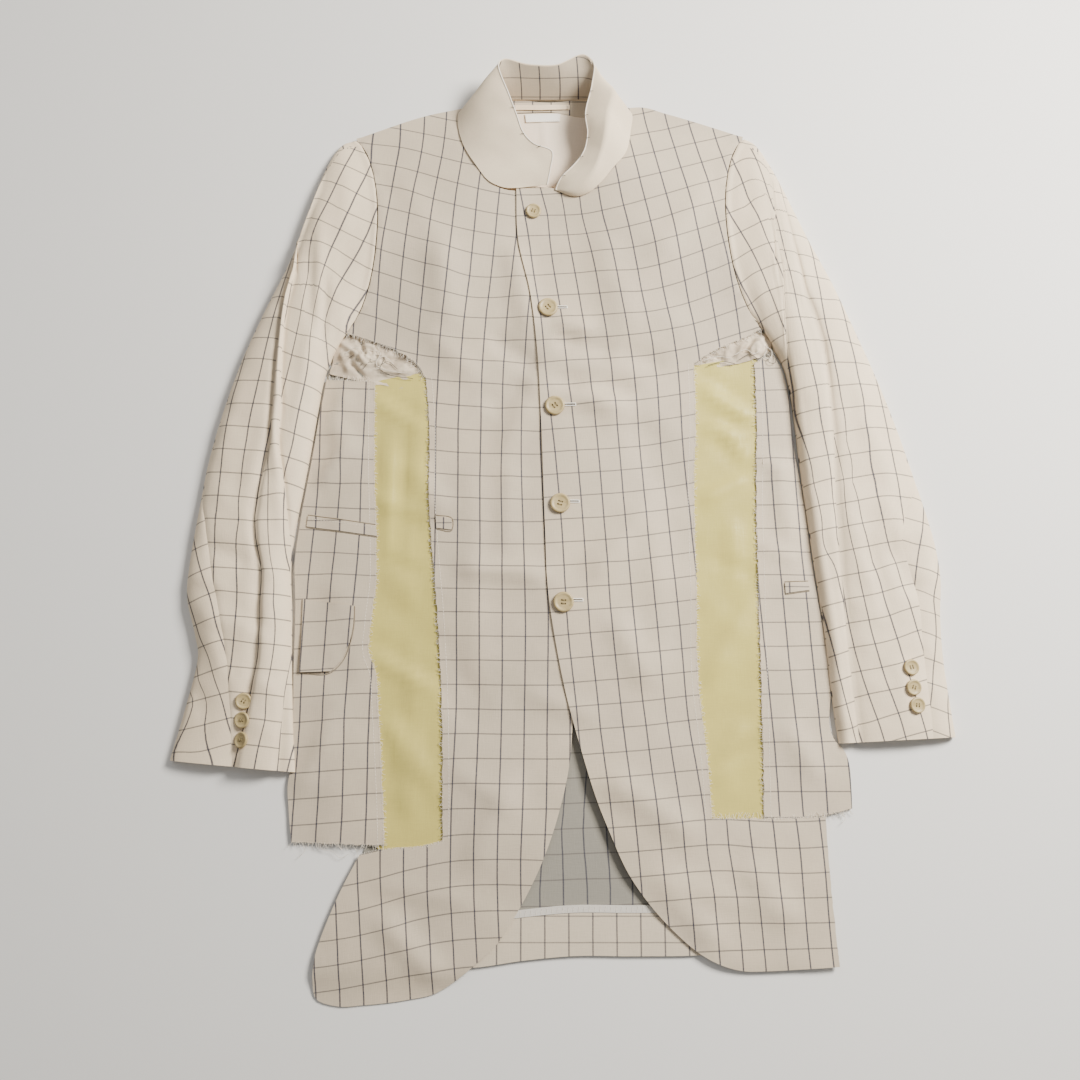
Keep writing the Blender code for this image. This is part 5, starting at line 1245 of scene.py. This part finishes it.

# Buttonholes: a slit bound with thread on both sides, beside each front button. The slit is a dark thread of
# painted shade
buttonholes = {"halfLength": 7.5, "halfWidth": 1.15, "spots": [(20, 721), (28, 615), (31, 515), (34, 416)]}
bound, slitShade = [], []
for x, y in buttonholes["spots"]:
    for side in (-1, 1):
        level = y + side * buttonholes["halfWidth"]
        ends = [(x - buttonholes["halfLength"], level), (x + buttonholes["halfLength"], level)]
        bound.append(threadRun(leftTop, ends, 0.4))
    bound.append(lay(leftTop, [(x + 7.6, y - 1.4), (x + 8.0, y), (x + 7.6, y + 1.4)], 0.3))
    slitShade.append(lay(leftTop, [(x - 7, y), (x + 7, y)], 0.05))
threadPiece("buttonholes", bound, 0.62, buttonholeThread, "leftFront")
threadPiece("buttonholeSlitShade", slitShade, 0.28, darkThreadAndShade, "leftFront")

# Finished edges and pockets are stitched too
pocketStitches = [run for ends in ([(-232, 499), (-165, 490)], [(-231, 414), (-186, 408)])
                  for run in stitchRuns(ends, topOf(sideUnder, 1.3), 0.0, 3.0, 2.0)]
threadPiece("pocketStitches", pocketStitches, 0.22, creamThread, "rightSidePanel")
pocketShadowLines = {  # painted shadow: dark lines along the turned edges of the welts and the flap, where they part from the cloth below
    "rightSidePanel": [[(-233, 490), (-162, 480)], [(-232, 503), (-164, 493)],
                       [(-233.5, 345), (-203, 346), (-192, 357), (-185, 375), (-182, 393), (-182, 411)]],
    "leftSidePanel": [[(242, 422.5), (266, 426)], [(241.5, 435), (265, 436)]],
    "rightFront": [[(-103, 488), (-88, 486), (-87, 498), (-104, 502)]],
}
for owner, lines in pocketShadowLines.items():
    lower = topOf(rightFrontUnder if owner == "rightFront" else sideUnder, 0.35)
    runs = [threadRun(lower, line, 0.0, 3.0) for line in lines]
    threadPiece(owner + "PocketShadowLines", runs, 0.45, pocketShadowThread, owner)
labelStitches = [run for pair in zip(neck["label"], neck["label"][1:])
                 for run in stitchRuns(list(pair), lowLevel(1.4), 1.0, 2.2, 1.5)]
threadPiece("labelStitches", labelStitches, 0.16, creamThread, "neckLabel")
barTacks = [lay(lowLevel(2.2), [(x, 951), (x, 955)], 0.2) for x in (-27.5, -26.5, 29.5, 30.5)]
threadPiece("loopBarTacks", barTacks, 0.3, creamThread, "hangerLoop")
hemStitches = [lay(lowLevel(0.35), [(x, y + 39.5), (x + 0.8, y + 44.0)], 0.1)
               for (x, y), direction in walk(smoothPath(cut["backHemLine"], 5.0), 5.0)]
threadPiece("hemTapeStitches", hemStitches, 0.2, creamThread, "hemTape")
print("threads laid")

# Buttons: a turned disc with a rounded rim, a dish and four holes, sewn with two bars of thread
buttonForm = {"thickness": 3.0, "holeRadius": 0.095, "holeReach": 0.24, "barReach": 0.1695, "seat": 0.0004,
              "sharpFrom": 50, "steps": 36, "holeSides": 12}
buttonProfile = [(0.0, 0.0), (0.82, 0.0), (0.95, 0.18), (1.0, 0.5), (0.97, 0.82), (0.88, 1.0), (0.78, 0.98),
                 (0.69, 0.78), (0.55, 0.7), (0.0, 0.7)]
buttonGroups = [  # piece, node, number of the first, piece it is sewn to, diameter, places
    ("neckButton", "front_button_{}", 1, "leftFront", 16.0, [(-7, 829)]),
    ("frontButton{}", "front_button_{}", 2, "leftFront", 20.0, [(8, 720), (15, 614), (20, 513), (23, 414)]),
    ("rightCuffButton{}", "right_cuff_button_{}", 1, "rightTopSleeve", 15.8,
     [(-284, 318), (-284, 300), (-283.5, 281)]),
    ("leftCuffButton{}", "left_cuff_button_{}", 1, "leftTopSleeve", 15.4,
     [(357, 350), (358, 331), (361, 314)]),
]


def buttonMesh(diameter):
    radius = diameter / 2 * layout["millimetre"]
    high = buttonForm["thickness"] * layout["millimetre"]
    disc = bmesh.new()
    points = [disc.verts.new((part * radius, 0.0, level * high)) for part, level in buttonProfile]
    lines = [disc.edges.new(pair) for pair in zip(points, points[1:])]
    bmesh.ops.spin(disc, geom=points + lines, axis=(0, 0, 1), cent=(0, 0, 0), angle=math.tau,
                   steps=buttonForm["steps"], use_merge=True)
    bmesh.ops.remove_doubles(disc, verts=disc.verts[:], dist=1e-6)
    bmesh.ops.recalc_face_normals(disc, faces=disc.faces[:])
    holes = bmesh.new()
    for turn in range(4):
        wide = radius * buttonForm["holeRadius"]
        made = bmesh.ops.create_cone(holes, cap_ends=True, segments=buttonForm["holeSides"], radius1=wide,
                                     radius2=wide, depth=high * 3)
        angle = math.pi / 4 + turn * math.pi / 2
        reach = radius * buttonForm["holeReach"]
        bmesh.ops.translate(holes, verts=made["verts"],
                            vec=(reach * math.cos(angle), reach * math.sin(angle), 0.0))
    body = putIn("button", meshFrom("button", disc))
    drill = putIn("buttonHoles", meshFrom("buttonHoles", holes))
    body.modifiers.new("Holes", "BOOLEAN").object = drill
    graph = bpy.context.evaluated_depsgraph_get()
    mesh = bpy.data.meshes.new_from_object(body.evaluated_get(graph))
    bpy.data.objects.remove(body)
    bpy.data.objects.remove(drill)
    return mesh


def restOn(trees, x, y, radius):  # the height and lean of a small disc that lies on a surface
    spots = []
    for turn in range(8):
        reach = (radius * math.cos(turn * math.pi / 4), radius * math.sin(turn * math.pi / 4))
        above = Vector(toMetres([[x + reach[0], y + reach[1], 120.0]])[0])
        hits = [tree.ray_cast(above, Vector((0, 0, -1)))[0] for tree in trees]
        hits = [hit for hit in hits if hit is not None]
        spots.append(max(hits, key=lambda hit: hit.z))
    middle = sum(spots, Vector()) / len(spots)
    lean = Vector((0, 0, 0))
    for before, after in zip(spots, spots[1:] + spots[:1]):
        lean += (before - middle).cross(after - middle)
    return middle, lean.normalized()


def sewButton(name, node, x, y, diameter, shape, trees):
    middle, lean = restOn(trees, x, y, diameter * 0.4)
    seat = middle + lean * buttonForm["seat"]
    turned = lean.to_track_quat("Z", "Y").to_matrix()
    mesh = shape.copy()
    for vertex in mesh.vertices:
        vertex.co = seat + turned @ vertex.co
    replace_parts(pieceFrom(name, mesh, hornButton), node)
    mesh.set_sharp_from_angle(angle=math.radians(buttonForm["sharpFrom"]))
    runs = []
    reach = diameter / 2 * buttonForm["barReach"]
    arc = [(-reach, 1.4), (-reach * 0.9, 2.35), (0.0, 2.6), (reach * 0.9, 2.35), (reach, 1.4)]
    for side in (-1, 1):
        for part in (-0.12, 0.12):
            run = [seat + turned @ (Vector((a, side * reach + part * reach * 2, b)) * 0.001) for a, b in arc]
            millimetres = np.array([list(spot) for spot in run]) / layout["millimetre"]
            runs.append(millimetres + np.array([layout["middleX"], layout["middleY"], 0.0]))
    return runs


sewnTo = {"leftFront": [leftFront], "rightTopSleeve": sleeves["right"], "leftTopSleeve": sleeves["left"]}
sewing = {owner: [] for owner in sewnTo}
for piece, node, first, owner, diameter, spots in buttonGroups:
    graph = bpy.context.evaluated_depsgraph_get()
    trees = [BVHTree.FromObject(under, graph) for under in sewnTo[owner]]
    shape = buttonMesh(diameter)
    for number, (x, y) in enumerate(spots, first):
        sewing[owner] += sewButton(piece.format(number), node.format(number), x, y, diameter, shape, trees)
for owner, runs in sewing.items():
    threadPiece(owner + "ButtonThread", runs, 0.2, buttonThread, owner)
print("buttons sewn on")

# The cut of every piece of cloth
narrow = {"share": 0.35, "spare": 1.1, "least": 0.0101}
for side, made in sleeves.items():
    for kind, piece in zip(("Top", "Under"), made):
        width, length, share = sleeveCut[kind]
        soft.append((piece, (width, length), "laid", [], width * length * share))
for piece, flat, held, restsOn, area in soft:
    longest = max(flat)
    area = area or flat[0] * flat[1]
    if area < narrow["share"] * flat[0] * flat[1]:  # a narrow strip that runs askew or in a bow
        flat = (area / longest * narrow["spare"], longest)
    flat = tuple(max(narrow["least"], side) for side in flat)
    min(area, flat[0] * flat[1])

# Floor, soft studio light and the photograph's view
stage = {"floorSize": 6.0, "floorColour": (0.80, 0.79, 0.77), "keyPower": 86.0, "fillPower": 6.0, "sky": 0.32}
ground = bmesh.new()
bmesh.ops.create_grid(ground, x_segments=1, y_segments=1, size=stage["floorSize"] / 2)
bmesh.ops.translate(ground, verts=ground.verts[:], vec=(0.0, 0.0, -0.0004))
floorMesh = meshFrom("studioFloor", ground)
floor = putIn("studioFloor", floorMesh)
floorPaint = Paint("studioFloor", roughness=0.9, specular=0.1)
grain = floorPaint.noise(floorPaint.here(), 30.0, 3.0)
floorShade = tuple(0.96 * part for part in stage["floorColour"])
floorLook = floorPaint.mix(grain * 0.2, stage["floorColour"], floorShade)
floorMesh.materials.append(floorPaint.finish(floorLook, grain))


def softLight(name, place, target, size, power, colour):
    light = bpy.data.lights.new(name, "AREA")
    light.shape = "RECTANGLE"
    light.size, light.size_y = size
    light.energy = power
    light.color = colour
    lamp = putIn(name, light)
    lamp.location = place
    lamp.rotation_euler = (Vector(target) - Vector(place)).to_track_quat("-Z", "Y").to_euler()


softLight("windowLight", (1.15, 0.7, 1.15), (0.0, 0.0, 0.0), (0.6, 0.6), stage["keyPower"], (1.0, 0.96, 0.89))
softLight("fillLight", (-0.8, 0.9, 1.6), (0.0, 0.0, 0.0), (1.6, 1.6), stage["fillPower"], (1.0, 0.98, 0.95))
world = bpy.data.worlds.new("studioWorld")
world.use_nodes = True
world.node_tree.nodes["Background"].inputs["Color"].default_value = (1.0, 0.985, 0.955, 1.0)
world.node_tree.nodes["Background"].inputs["Strength"].default_value = stage["sky"]
bpy.context.scene.world = world

view = {"place": (-0.0219, -0.2461, 1.0631), "tilt": 11.0, "lens": 36.1, "sensor": 36.0}
lens = bpy.data.cameras.new("photoCamera")
lens.lens = view["lens"]
lens.sensor_width = view["sensor"]
camera = putIn("photoCamera", lens)
camera.location = view["place"]
camera.rotation_euler = (math.radians(view["tilt"]), 0.0, 0.0)
bpy.context.scene.camera = camera
print("stage set")

bpy.context.view_layer.update()
